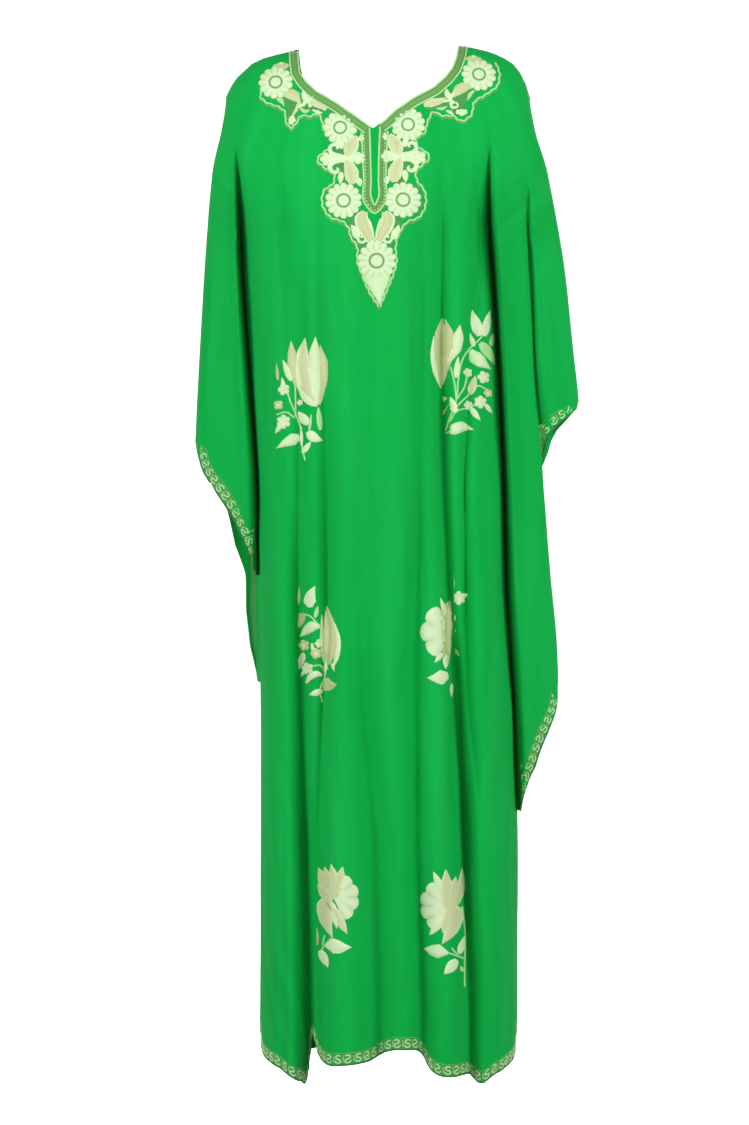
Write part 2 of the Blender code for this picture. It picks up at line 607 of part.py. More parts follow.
def solid(name, inner, outer, cells, material):
    """One closed body between two grids of points, over the cells (row, column) given."""
    mesh = bpy.data.meshes.new(name)
    body = bmesh.new()
    made = {}

    def vertex(layer, row, column):
        key = (layer, row, column)
        if key not in made:
            made[key] = body.verts.new((inner, outer)[layer][row, column])
        return made[key]

    edges = {}
    for row, column in sorted(cells):
        corners = [(row, column), (row + 1, column), (row + 1, column + 1), (row, column + 1)]
        ends = [(outer[corners[i]], outer[corners[i + 2]]) for i in (0, 1)]
        shorter = np.linalg.norm(ends[0][0] - ends[0][1]) <= np.linalg.norm(ends[1][0] - ends[1][1])
        flat = [max(abs(end[0][1]), abs(end[1][1])) < SEAM_GAP for end in ends]
        if flat[0] != flat[1]:  # at a corner, the cell isn't split into a face in the plane of its rim
            shorter = flat[1]
        for triangle in ((0, 1, 2), (0, 2, 3)) if shorter else ((0, 1, 3), (1, 2, 3)):
            body.faces.new([vertex(1, *corners[i]) for i in triangle])
            body.faces.new([vertex(0, *corners[i]) for i in reversed(triangle)])
        for start, end in zip(corners, corners[1:] + corners[:1]):
            if (end, start) in edges:
                del edges[end, start]
            else:
                edges[start, end] = True
    for start, end in edges:
        body.faces.new([vertex(1, *end), vertex(1, *start), vertex(0, *start)])
        body.faces.new([vertex(1, *end), vertex(0, *start), vertex(0, *end)])
    bmesh.ops.recalc_face_normals(body, faces=body.faces)
    body.to_mesh(mesh)
    body.free()
    mesh.shade_smooth()
    mesh.set_sharp_from_angle(angle=SHARP_ANGLE)
    mesh.materials.append(material)
    made_object = bpy.data.objects.new(name, mesh)
    bpy.context.scene.collection.objects.link(made_object)
    return made_object


def finish(name, colour, roughness):
    """A plain cloth or thread material."""
    material = bpy.data.materials.new(name)
    material.use_nodes = True
    shader = material.node_tree.nodes["Principled BSDF"]
    shader.inputs["Base Color"].default_value = colour
    shader.inputs["Roughness"].default_value = roughness
    shader.inputs["Metallic"].default_value = 0.0
    return material


def sew(panel, names, cloth, thread):
    """Makes a panel's body, wings and neck band; returns its points, directions and columns."""
    points = panel.grid()
    normals = grid_normals(points, panel.side)
    left, right = cut_side_seams(panel, points, normals)
    columns = panel.columns(SHOULDER_SPAN)
    rows = points.shape[0]
    drops = -points[:, :, 2] / CM

    neck = {
        (0, column)
        for column in range(len(columns) - 1)
        if columns[column] >= NECK_LEFT and columns[column + 1] <= NECK_RIGHT
    }
    body_cells = neck | {(row, column) for row in range(1, rows - 1) for column in range(left, right)}

    def wing_cells(rows_of_reach, inner, outer_lobe):
        """Cells of one wing, down to its hem."""
        last = max(row.drop for row in rows_of_reach) + 0.01
        lobe_last = min(row.drop for row in rows_of_reach if row.columns < OUTER_LOBE_ENDS) + 0.01
        return {
            (row, column)
            for group, lowest in ((inner, last), (outer_lobe, lobe_last))
            for row in range(1, rows - 1)
            for column in group
            if drops[row + 1, column] < lowest
        }

    lobe = sum(column > 1.0 for column in WING_COLUMNS)
    last = len(columns) - 1
    left_cells = wing_cells(panel.left_reach, range(lobe, left), range(lobe))
    right_cells = wing_cells(panel.right_reach, range(right, last - lobe), range(last - lobe, last))

    # A wing and the body part by SEAM_GAP along the column that they share.
    for cells, name, seam, way in (
        (body_cells, names["body"], None, 0),
        (left_cells, names["left"], left, -1),
        (right_cells, names["right"], right, 1),
    ):
        outer = points.copy()
        for column, direction in ((left, 1), (right, -1)) if seam is None else ((seam, way),):
            along = points[:, column + 1] - points[:, column - 1]
            level = normals[:, column]
            along -= level * (along * level).sum(axis=1, keepdims=True)
            along /= np.linalg.norm(along, axis=1, keepdims=True)
            outer[:, column] += along * direction * SEAM_GAP / 2
        solid(name, outer - normals * WALL, outer, cells, cloth)

    solid(
        names["band"],
        points + normals * SEAM_GAP,
        points + normals * (SEAM_GAP + TRIM_THICKNESS),
        neck,
        thread,
    )
    return points, normals, columns


def slit_cells(columns):
    """Cells of the band down both sides of the slit, which meets in a point below it."""
    first, inner, _, outer, last = (list(columns).index(column) for column in SLIT_COLUMNS)
    point_row = 1 + len(SHOULDER_STEPS) + ROW_DROPS.index(21.2)
    sides = {(row, column) for row in range(2, point_row) for column in (first, outer)}
    return sides | {(point_row, column) for column in range(first, last)}


def main():
    """Clears the scene and makes the kaftan."""
    for old in list(bpy.data.objects):
        bpy.data.objects.remove(old, do_unlink=True)
    cloth = finish("green_cotton", GREEN, 0.85)
    thread = finish("pale_embroidery", CREAM, 0.6)

    front = Panel(
        -1,
        FRONT_FOLDS,
        (FRONT_WING_LEFT, FRONT_WING_RIGHT),
        (REACH_FRONT_LEFT, REACH_FRONT_RIGHT),
        FRONT_NECKLINE,
        FRONT_HEM,
        FRONT_COLUMNS,
        True,
    )
    back = Panel(
        1,
        BACK_FOLDS,
        (BACK_WING_LEFT, BACK_WING_RIGHT),
        (REACH_BACK_LEFT, REACH_BACK_RIGHT),
        BACK_NECKLINE,
        BACK_HEM,
        BACK_COLUMNS,
        False,
    )
    points, normals, columns = sew(
        front,
        {
            "body": "front_body",
            "left": "front_wing_left",
            "right": "front_wing_right",
            "band": "neck_band_front",
        },
        cloth,
        thread,
    )
    solid(
        "slit_band",
        points + normals * SEAM_GAP,
        points + normals * (SEAM_GAP + TRIM_THICKNESS),
        slit_cells(columns),
        thread,
    )
    sew(
        back,
        {
            "body": "back_body",
            "left": "back_wing_left",
            "right": "back_wing_right",
            "band": "neck_band_back",
        },
        cloth,
        thread,
    )


main()
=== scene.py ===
"""A long green kaftan with hanging wings, dressed with its folds, embroidery and borders.

Metres, +Z up, the front faces -Y. The tables are in centimetres where a name doesn't say
otherwise: "drop" is the distance below the shoulder line, "out" is how far the cloth stands
from the plane of the side seams, and columns follow the folds down the cloth:

    -2 left arm fold, 0 left side seam, 1 to 7 valleys, 8 right side seam, 10 right arm fold.
"""

import logging
import math
from dataclasses import dataclass, field
from enum import Enum
from typing import NamedTuple

import bpy
import numpy as np
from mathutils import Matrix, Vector
from mathutils.bvhtree import BVHTree

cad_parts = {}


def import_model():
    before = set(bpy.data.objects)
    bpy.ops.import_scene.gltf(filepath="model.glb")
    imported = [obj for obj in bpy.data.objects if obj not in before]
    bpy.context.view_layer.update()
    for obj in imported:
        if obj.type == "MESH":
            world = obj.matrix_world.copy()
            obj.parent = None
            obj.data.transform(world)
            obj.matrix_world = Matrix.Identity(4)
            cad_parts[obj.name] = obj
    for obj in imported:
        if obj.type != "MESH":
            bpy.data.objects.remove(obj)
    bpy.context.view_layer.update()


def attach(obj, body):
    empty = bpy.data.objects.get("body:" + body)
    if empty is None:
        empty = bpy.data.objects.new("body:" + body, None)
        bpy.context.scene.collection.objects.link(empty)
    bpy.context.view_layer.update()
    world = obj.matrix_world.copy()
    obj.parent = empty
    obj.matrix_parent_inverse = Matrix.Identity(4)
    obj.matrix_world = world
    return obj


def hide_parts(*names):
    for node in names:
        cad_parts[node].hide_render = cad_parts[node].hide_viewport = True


LOG = logging.getLogger("kaftan")
Array, Pair, Triple = np.ndarray, tuple[float, float], tuple[float, float, float]
CM, MM = 0.01, 0.001
SMOOTH_BELOW = 50.0  # degrees
THREAD_LIGHTNESS = 0.8


class Side(Enum):
    """Which cloth of the kaftan, and which way it faces along Y."""

    FRONT = -1
    BACK = 1


# ---- sizes of the cloth ----


class Girth(NamedTuple):
    """The body at one drop: where its side seams hang and how far it stands out."""

    drop: float
    left: float
    right: float
    front: float
    back: float


class Fold(NamedTuple):
    """A valley in the cloth: its place and depth at each of FOLD_DROPS, and its width."""

    x: tuple[float, ...]
    depth_mm: tuple[float, ...]
    width_mm: float


class WingSection(NamedTuple):
    """One layer of a wing at one drop: x and out of its points, from the side seam on."""

    drop: float
    crest: Pair
    flank: Pair
    valley: Pair
    outer: Pair
    fold_x: float


class Reach(NamedTuple):
    """How far a wing reaches from its seam at one drop, in columns: its slanting hem."""

    drop: float
    columns: float


class Rim(NamedTuple):
    """A point on the cloth's edge: its column, its place across and its drop."""

    column: float
    x: float
    drop: float


def rows(kind: type, *readings: tuple) -> tuple:
    """Readings, each as a row of this kind."""
    return tuple(kind(*reading) for reading in readings)


WALL, SEAM_GAP = 1.2 * MM, 0.3 * MM
LEFT_FOLD, LEFT_SEAM, RIGHT_SEAM, RIGHT_FOLD = -2.0, 0.0, 8.0, 10.0
NECK_LEFT, NECK_TIP, NECK_RIGHT = 1.8, 4.42, 6.5
OPEN_ABOVE, SEWN_BELOW, SHOULDER_SPAN, HEM_SPAN, LOWEST = 13.0, 30.0, 18.0, 122.0, 145.0
LEVEL_STEP, NEAR, LOBE_COLUMNS = 0.5, 0.01, 1.05

GIRTHS = rows(
    Girth,
    (0, -19.6, 15.2, 8, 7), (13, -19.6, 15.2, 10, 9.8), (24, -19.2, 15.4, 12.9, 11.2),
    (31, -19, 16, 13, 11.2), (45, -18, 16.9, 12.6, 10.8), (61, -16.8, 17.6, 12.7, 11.2),
    (77, -16.7, 18, 12.9, 11.6), (93, -16.4, 19, 13.2, 12), (110, -16.4, 19.6, 13.6, 12.4),
    (146, -16.6, 19.5, 14.4, 13.2),
)
FOLD_DROPS = (13, 24, 31, 45, 61, 77, 93, 110, 133)
FRONT_FOLDS = rows(
    Fold,
    ((-13.5, -13.3, -13.2, -13.1, -13.1, -13.1, -13.1, -13.2, -13.2), (0, 7, 8, 5, 0, 0, 0, 4, 6), 9),
    ((-10.4, -10.4, -10.4, -11, -11, -11.1, -10.7, -10.2, -9.7), (0, 4, 6, 9, 20, 28, 36, 48, 52), 14),
    ((-9, -8.7, -8.3, -7.7, -7.2, -7, -7.7, -8.2, -8.4), (0, 6, 8, 12, 20, 24, 24, 22, 16), 11),
    ((-4.8, -4.8, -4.8, -4.2, -3.1, -2.5, -1.9, -0.5, 0), (0, 3, 8, 10, 10, 12, 18, 28, 32), 18),
    ((6.2, 6.2, 6, 5.8, 5.6, 5.3, 5.3, 5.4, 6.2), (0, 8, 12, 15, 18, 22, 24, 26, 32), 14),
    ((9, 8.9, 8.8, 8.9, 9.1, 9.7, 11, 11.9, 12.8), (3, 18, 24, 28, 32, 34, 44, 52, 34), 12),
    ((13.2, 13.8, 14.4, 12.8, 11.9, 12.2, 12.6, 14.4, 15.4), (2, 14, 14, 10, 22, 24, 12, 0, 3), 11),
)
BACK_FOLDS = rows(
    Fold,
    ((-12.6, -12.5, -12.4, -12.2, -12, -12, -12.2, -12.4, -12.6), (0, 3, 5, 8, 14, 20, 24, 26, 26), 12),
    ((-9.2, -9, -8.8, -8.4, -8, -7.8, -7.8, -7.9, -8), (0, 5, 8, 10, 14, 18, 22, 26, 22), 12),
    ((-4.4, -4.3, -4.2, -4, -3.6, -3.3, -3.2, -3.1, -3), (0, 0, 2, 4, 8, 12, 18, 24, 28), 14),
    ((0.4, 0.5, 0.6, 0.8, 1, 1.2, 1.4, 1.5, 1.6), (0, 2, 4, 6, 8, 12, 16, 20, 22), 12),
    ((4.6, 4.7, 4.8, 5, 5.3, 5.6, 5.9, 6.2, 6.4), (0, 4, 6, 8, 10, 14, 20, 26, 28), 12),
    ((9, 9.2, 9.4, 9.6, 10, 10.3, 10.7, 11, 11.2), (0, 5, 8, 12, 18, 24, 28, 32, 30), 12),
    ((12.6, 12.8, 13, 13.4, 13.9, 14.4, 14.9, 15.3, 15.6), (0, 3, 4, 6, 10, 12, 14, 16, 18), 12),
)
FRONT_WING_LEFT = rows(
    WingSection,
    (13, (-20.3, 5.5), (-20.9, 5.2), (-21.4, 4.6), (-21.9, 3.4), -22.5),
    (24, (-20.2, 5.2), (-21.1, 4.8), (-21.9, 4), (-22.6, 3.2), -23.8),
    (31, (-20.2, 5.2), (-21.4, 4.6), (-22.4, 3.8), (-23.3, 3.2), -24.3),
    (45, (-20.2, 4.8), (-21.8, 4.3), (-23.1, 3.7), (-24.2, 2.9), -25.1),
    (55, (-19.8, 4.4), (-21.8, 4), (-23.3, 3.3), (-24.6, 2.4), -25.6),
    (65, (-19.8, 3.7), (-21.8, 3.5), (-23.3, 3), (-24.6, 2.2), -25.6),
    (74, (-19.8, 2.6), (-21.9, 2.8), (-23.3, 2.4), (-24.5, 1.9), -25.6),
)
FRONT_WING_RIGHT = rows(
    WingSection,
    (13, (17.6, 7.2), (19.2, 6.2), (20.2, 5.2), (21.3, 4.2), 22.8),
    (24, (17.9, 6.6), (20, 5.4), (20.5, 4.2), (21.5, 4.9), 25),
    (31, (18.2, 6.4), (20.4, 5.2), (21, 3.9), (22.1, 5), 26.2),
    (45, (18.9, 5.8), (21.2, 4.8), (21.7, 3.6), (23, 4.8), 27.6),
    (50, (19.2, 5.6), (21.7, 4.6), (22.2, 3.4), (23.8, 4.5), 28.3),
    (58, (19.8, 5.2), (22.6, 3.8), (22.8, 2), (24.6, 3.4), 27.5),
    (72, (20.6, 4.6), (23.9, 2.6), (22.2, 0.7), (24, 1.5), 26),
    (86, (21.9, 4.2), (25.4, 2.2), (23.8, 0.6), (25, 1.2), 26),
    (98, (22.2, 3.4), (25, 2), (24, 0.6), (25, 1.2), 26),
    (107, (21.8, 2.8), (24.5, 1.8), (23.5, 0.6), (25, 1.2), 26),
)
BACK_WING_LEFT = rows(
    WingSection,
    (13, (-20.5, 5), (-21.1, 4.5), (-21.5, 3.8), (-22, 2.8), -22.5),
    (24, (-20.8, 4.8), (-21.6, 4.4), (-22.2, 3.8), (-22.9, 3), -23.8),
    (31, (-21, 4.6), (-21.9, 4.2), (-22.6, 3.6), (-23.4, 2.9), -24.3),
    (45, (-21.2, 4.2), (-22.4, 3.9), (-23.3, 3.4), (-24.2, 2.6), -25.1),
    (55, (-21, 4), (-22.4, 3.7), (-23.4, 3.2), (-24.6, 2.3), -25.6),
    (65, (-19, 3.2), (-20.4, 3), (-21.4, 2.4), (-23, 2), -25.6),
    (72, (-18.2, 2.8), (-19.4, 2.4), (-20.4, 1.8), (-22, 1.6), -25),
    (78, (-17.9, 2.4), (-18.7, 1.9), (-19.4, 1.3), (-21, 1.4), -24),
    (89, (-17.4, 1.6), (-17.9, 1.1), (-18.4, 0.8), (-20, 1.2), -23),
)
BACK_WING_RIGHT = rows(
    WingSection,
    (13, (17.6, 7), (19.2, 6), (20.2, 5), (21.3, 4), 22.8),
    (24, (18, 6.2), (19.8, 5), (20.9, 3.8), (22.8, 4), 25),
    (31, (18.6, 6), (20.4, 4.8), (21.6, 3.2), (23.6, 4), 26.2),
    (45, (19.4, 5.4), (21.4, 4.2), (22.6, 2.8), (24.8, 3.8), 27.6),
    (50, (19.6, 5.2), (21.8, 4), (23, 2.6), (25.2, 3.6), 28.3),
    (58, (19.8, 4.8), (21.8, 3.6), (23, 2.6), (25, 3), 27.5),
    (72, (20, 4.2), (21.8, 3.2), (22.8, 2.4), (24, 2), 26),
    (86, (20.8, 3.6), (22.6, 2.8), (23.6, 2), (25, 1.6), 26),
    (104, (21, 2.4), (22.6, 1.8), (23.4, 1.4), (25, 1.2), 26),
)
WING_STOPS = (0, 0.12, 0.55, 0.82, 1, 1.5, 1.88, 2)
WING_INNER, WING_TIP = (0.3, 0.84), (0.25, 1.5)
REACH_FRONT_LEFT = rows(
    Reach,
    (55, 2), (58.5, 1.6), (61, 1.04), (65.7, 0.64), (69.7, 0.36), (73.9, 0.14),
)
REACH_FRONT_RIGHT = rows(
    Reach,
    (49.5, 2), (52, 1.72), (55, 1.35), (58.5, 1.03), (61, 1), (84, 0.98), (88.9, 0.92), (91, 0.83),
    (94.5, 0.71), (100.5, 0.53), (106.8, 0.14),
)
REACH_BACK_LEFT = rows(
    Reach,
    (55, 2), (58.5, 1.6), (61, 1.04), (65.7, 0.93), (69.7, 0.89), (73.9, 0.7), (79, 0.8), (84, 0.7),
    (88.9, 0.16),
)
REACH_BACK_RIGHT = rows(
    Reach,
    (49.5, 2), (52, 1.7), (55, 1.35), (58.5, 1.03), (61, 1), (84, 0.92), (94.5, 0.68), (100.5, 0.42),
    (106.8, 0.14),
)
SHOULDER_LEFT = rows(
    Rim,
    (-2, -21.3, 7.1), (-1.2, -21, 6.3), (-0.6, -20.5, 5.4), (0, -19.7, 4.3), (0.3, -18.7, 3.4),
    (0.6, -17.6, 2.4), (1, -16, 1.65), (1.4, -14.2, 1.15), (NECK_LEFT, -12.5, 0.75),
)
SHOULDER_RIGHT = rows(
    Rim,
    (NECK_RIGHT, 12.6, 0.05), (7, 13.9, 0.35), (7.5, 15.2, 0.65), (8, 16.4, 1.05), (8.4, 17.6, 1.6),
    (8.8, 18.9, 2.4), (9.2, 19.8, 3.5), (9.6, 20.6, 5), (10, 21.3, 7.1),
)
FRONT_NECKLINE = rows(
    Rim,
    (NECK_LEFT, -11.1, 0.4), (2.1, -10.95, 2.6), (2.4, -10.7, 4.6), (2.7, -9.8, 6), (3, -8.4, 7.4),
    (3.5, -5.4, 9.2), (4, -3.1, 10.9), (NECK_TIP, -0.7, 12.7), (4.7, 0.9, 11.5), (5, 2.2, 10.2),
    (5.4, 4.6, 8.5), (5.8, 7.6, 6.8), (6, 9.2, 5.3), (6.2, 10.2, 3.9), (6.35, 10.8, 2.2),
    (NECK_RIGHT, 11.2, -0.1),
)
BACK_NECKLINE = rows(
    Rim,
    (NECK_LEFT, -11.1, 0.4), (2.1, -10.9, 2.4), (2.5, -10.2, 4.8), (3, -8.6, 7), (3.5, -6, 8.8),
    (4, -2.6, 10), (NECK_TIP, 0.3, 10.2), (5, 3.4, 9.8), (5.5, 6.4, 8.4), (5.9, 8.6, 6.8), (6.2, 10.2, 4.4),
    (6.35, 10.8, 2.2), (NECK_RIGHT, 11.2, -0.1),
)
FRONT_HEM = (
    (0, 137.2), (0.3, 139.7), (0.6, 140.9), (1, 141.9), (1.4, 142.7), (1.75, 143.4), (1.93, 143.6),
    (2, 142.4), (2.1, 140.5), (3.35, 140.6), (3.8, 140), (4.5, 138.4), (4.95, 139.2), (5.2, 141.2),
    (5.95, 142.3), (6.3, 143.2), (7, 142.8), (7.6, 140.5), (8, 137.2),
)
BACK_HEM = (
    (0, 137.2), (0.4, 140.6), (1, 142.2), (2, 141.6), (3, 142), (4, 141), (5, 141.6), (6, 142.2),
    (7, 141.8), (7.6, 140.6), (8, 137.2),
)


# ---- curves ----


def smooth(share: Array | float) -> Array:
    """Runs from 0 to 1 with level ends as share does."""
    share = np.clip(share, 0.0, 1.0)
    return share * share * (3.0 - 2.0 * share)


def eased(at: float, stops: tuple, readings: tuple, blur: float = 3.0) -> float:
    """A table read between its stops, with its corners rounded over blur on each side."""
    return float(np.mean([np.interp(at + offset, stops, readings) for offset in np.linspace(-blur, blur, 5)]))


def distances(points: Array) -> Array:
    """How far along a line of points each of them is."""
    return np.concatenate([[0.0], np.cumsum(np.linalg.norm(np.diff(points, axis=0), axis=1))])


def read_levels(table: Array, first: float, drops: Array) -> Array:
    """Reads each column of a table of level sections at its own drop.

    Args:
        table: sections at every LEVEL_STEP from first down, each a row of points.
        first: the drop of the first section.
        drops: the drop to read for each column.

    Returns:
        A point for each column.
    """
    level = np.clip((drops - first) / LEVEL_STEP, 0.0, len(table) - 1.000001)
    low, column = level.astype(int), np.arange(len(drops))
    part = (level - low)[:, None]
    return table[low, column] * (1 - part) + table[low + 1, column] * part


def through(points: Array, stops: Array, at: Array) -> Array:
    """A smooth curve through points, which it passes at stops.

    Args:
        points: the points to pass, one to a row.
        stops: where along the curve each point is.
        at: the places to read.

    Returns:
        The points at the places, one to a row.
    """
    points, stops, at = np.asarray(points, float), np.asarray(stops, float), np.asarray(at, float)
    slope = np.gradient(points, stops, axis=0)
    part = np.clip(np.searchsorted(stops, at, side="right") - 1, 0, len(stops) - 2)
    span = (stops[part + 1] - stops[part])[:, None]
    t = (at - stops[part])[:, None] / span
    return (
        (1 + 2 * t) * (1 - t) ** 2 * points[part]
        + t * (1 - t) ** 2 * span * slope[part]
        + t * t * (3 - 2 * t) * points[part + 1]
        + t * t * (t - 1) * span * slope[part + 1]
    )


def unit(vectors: Array) -> Array:
    """The vectors at length 1, along the last axis."""
    return vectors / np.linalg.norm(vectors, axis=-1, keepdims=True).clip(1e-12)


def sewn_share(drop: Array | float) -> Array:
    """How far the side seams are sewn up at a drop, from 0 in the open armhole to 1."""
    return smooth((drop - OPEN_ABOVE) / (SEWN_BELOW - OPEN_ABOVE))


def rim_at(rims: tuple[Rim, ...], column: Array) -> Array:
    """Places across and drops, in metres, on an edge given by its rims."""
    stops = [rim.column for rim in rims]
    return np.stack([np.interp(column, stops, [rim[i] for rim in rims]) for i in (1, 2)], axis=-1) * CM


# ---- one cloth ----


@dataclass
class Cloth:
    """The front or the back cloth of the kaftan, from one arm fold across to the other."""

    side: Side
    folds: tuple[Fold, ...]
    wings: tuple[tuple[WingSection, ...], tuple[WingSection, ...]]
    reaches: tuple[tuple[Reach, ...], tuple[Reach, ...]]
    neckline: tuple[Rim, ...]
    hem: tuple[Pair, ...]
    seed: int
    roundness: float = 2.4
    shoulder_roundness: float = 2.6
    seam_inset: float = 0.3 * CM
    seam_rise: float = 0.6 * CM
    seam_turn: float = 0.8 * CM
    fold_release: float = 2.5 * CM
    valley_sharpness: float = 1.3
    valley_fall: float = 0.8
    crowding: float = 3.2
    most_crowded: float = 0.75
    neck_spread: float = 1.1 * CM
    neck_spread_columns: float = 0.9
    band_width: float = 1.4 * CM
    tip_miter: float = 1.2
    edge_nudge: float = 0.03
    top_crowding: float = 1.4
    waves: tuple = ((0.090, 0.9, 0.9), (0.055, 0.6, 0.7), (0.034, 0.35, 0.4), (0.021, 0.2, 0.18))
    waves_each: int = 3
    wave_share: float = 0.8
    calm_columns: float = 0.45
    shoulder_radii: tuple = ((0, 12, 20), (9, 8, 5))
    columns_each: int = 34
    wing_columns_each: int = 24
    row_step: float = 1.8
    ring_points: int = 361
    neck_rows: int = 4
    shoulder_count: int = 24
    hem_count: int = 16
    stops: tuple[float, ...] = (
        18, 21.2, 22.3, 27, 32, 38, 44, 49.5, 52, 55, 58.5, 61, 65.7, 69.7, 73.9, 79, 84, 88.9,
        94.5, 100.5, 106.8, 114, 122,
    )
    outer: Array = field(init=False)
    normals: Array = field(init=False)
    inner: Array = field(init=False)
    cells: Array = field(init=False)
    uv: Array = field(init=False)
    body_columns: Array = field(init=False)
    tree: BVHTree = field(init=False)

    def girth(self, drop: float) -> Triple:
        """Reads the body's girth.

        Args:
            drop: how far below the shoulder line.

        Returns:
            Both seams across and how far the body stands out, in metres.
        """
        drops = [row.drop for row in GIRTHS]
        depth = [row.front if self.side is Side.FRONT else row.back for row in GIRTHS]
        readings = ([row.left for row in GIRTHS], [row.right for row in GIRTHS], depth)
        return tuple(eased(drop, drops, reading) * CM for reading in readings)

    def body(self, columns: Array, drop: float) -> Array:
        """Works out the sewn body at one drop: a rounded ring with valleys sunk into it.

        Args:
            columns: from 0 to 8.
            drop: how far below the shoulder line.

        Returns:
            Across and out, in metres, for each column.
        """
        left, right, depth = self.girth(drop)
        middle, half = (left + right) / 2, (right - left) / 2
        turn = np.linspace(0.0, np.pi, self.ring_points)
        power = 2 / self.roundness
        cosine = np.cos(turn)
        ring = np.stack(
            [middle - half * np.sign(cosine) * np.abs(cosine) ** power, depth * np.sin(turn).clip(0.0) ** power], axis=1
        )
        along = distances(ring)
        total = along[-1]
        valleys = np.array([eased(drop, FOLD_DROPS, fold.x) * CM for fold in self.folds])
        depths = np.array([eased(drop, FOLD_DROPS, fold.depth_mm) * MM for fold in self.folds])
        widths = np.array([fold.width_mm for fold in self.folds]) * MM
        at_valley = np.interp(valleys, ring[:, 0], along)
        knots = np.concatenate([[0.0], at_valley, [total]])

        part = np.clip(np.floor(columns).astype(int), 0, len(knots) - 2)
        length = knots[part + 1] - knots[part]
        crowd = np.clip(1.0 - self.crowding * widths.mean() / length, 0.0, self.most_crowded)
        share = columns - part
        share = share - crowd * np.sin(2 * np.pi * share) / (2 * np.pi)
        place = knots[part] + length * share

        release = smooth(np.minimum(place, total - place) / self.fold_release)
        steps = (place[:, None] - at_valley) / widths
        fall = np.exp(-self.valley_fall * np.abs(steps) ** self.valley_sharpness)

        point = np.stack([np.interp(place, along, ring[:, axis]) for axis in (0, 1)], axis=1)
        point[:, 1] -= (depths * fall).sum(axis=1) * release

        turned = smooth(np.minimum(place, total - place) / self.seam_turn)
        point[:, 0] += (1.0 - 2.0 * place / total) * self.seam_inset * turned
        point[:, 1] += WALL + SEAM_GAP / 2 + (self.seam_rise - WALL) * turned
        return point

    def wing(self, sections: tuple[WingSection, ...], columns: Array, drop: float, seam: float) -> Array:
        """Works out one layer of a wing at one drop.

        Args:
            sections: the wing's sections.
            columns: from 0 at its seam to 2 at its fold.
            drop: how far below the shoulder line.
            seam: where its seam is across, in metres.

        Returns:
            Across and out, in metres, for each column.
        """
        drops = [row.drop for row in sections]
        outward = 1.0 if seam > 0 else -1.0
        middle = [
            tuple(eased(drop, drops, [row[i][axis] for row in sections]) * CM for axis in (0, 1)) for i in range(1, 5)
        ]
        inner = (seam + outward * WING_INNER[0] * CM, WING_INNER[1] * middle[0][1])
        points = [(seam, WALL + SEAM_GAP / 2), inner, *middle]
        fold = eased(drop, drops, [row.fold_x for row in sections]) * CM
        points += [(fold - outward * WING_TIP[0] * CM, WING_TIP[1] * CM), (fold, SEAM_GAP / 2)]
        return through(points, WING_STOPS, columns)

    def section(self, columns: Array, drop: float) -> Array:
        """Works out the whole sewn section at one drop.

        Args:
            columns: from -2 to 10.
            drop: how far below the shoulder line.

        Returns:
            Across and out, in metres, for each column.
        """
        left, right, _ = self.girth(drop)
        point = np.zeros((len(columns), 2))
        on_left, on_right = columns < LEFT_SEAM, columns > RIGHT_SEAM
        body = ~(on_left | on_right)
        point[body] = self.body(columns[body], drop)
        point[on_left] = self.wing(self.wings[0], LEFT_SEAM - columns[on_left], drop, left)
        point[on_right] = self.wing(self.wings[1], columns[on_right] - RIGHT_SEAM, drop, right)
        return point

    def edge(self, columns: Array) -> Array:
        """Works out the top edge, which runs under the neck band.

        Args:
            columns: the columns to read.

        Returns:
            Across and drop, in metres, for each column.
        """
        before, after = (rim_at(self.neckline, columns + nudge) for nudge in (-self.edge_nudge, self.edge_nudge))
        step = unit(after - before)
        miter = 1.0 + (self.tip_miter - 1.0) * (self.side is Side.FRONT) * (np.abs(columns - NECK_TIP) < 1e-6)
        inset = np.stack([-step[:, 1], step[:, 0]], axis=1) * self.band_width * miter[:, None]
        neck = rim_at(self.neckline, columns) + inset
        left, right = (columns <= NECK_LEFT)[:, None], (columns >= NECK_RIGHT)[:, None]
        return np.where(left, rim_at(SHOULDER_LEFT, columns), np.where(right, rim_at(SHOULDER_RIGHT, columns), neck))

    def rounding(self, across: Array, drop: Array) -> Array:
        """Rounds the cloth over the shoulder line.

        Args:
            across: places across, in metres.
            drop: how far below the shoulder line each is.

        Returns:
            How much of its depth the cloth has at each, from 0 to 1.
        """
        rims = SHOULDER_LEFT + SHOULDER_RIGHT
        line = np.interp(across / CM, [rim.x for rim in rims], [rim.drop for rim in rims])
        radius = np.interp(np.abs(across / CM), *self.shoulder_radii)
        share = np.clip((drop - line) / radius, 0.0, 1.0)
        return np.sqrt(1.0 - (1.0 - share) ** 2)

    def fullness(self, x: Array, sewn_out: Array, drop: Array, half_width: float) -> Array:
        """Fills the cloth out, with its armhole as open as it is at each drop.

        Args:
            x: places across, in metres.
            sewn_out: how far out each would be with the side seams sewn.
            drop: how far below the shoulder line each is.
            half_width: half the cloth's width, in metres.

        Returns:
            How far the cloth stands out at each, in metres.
        """
        stops = np.arange(0.0, 147.0)
        depth = np.interp(drop, stops, [self.girth(stop)[2] for stop in stops[:40]] + [0.1] * (len(stops) - 40))
        power = self.shoulder_roundness
        rounded = np.maximum(0.0, 1.0 - np.abs(x / half_width) ** power) ** (1 / power)
        sewn = sewn_share(drop)
        out = sewn * sewn_out + (1.0 - sewn) * depth * rounded
        return np.maximum(SEAM_GAP / 2, out * self.rounding(x, drop))

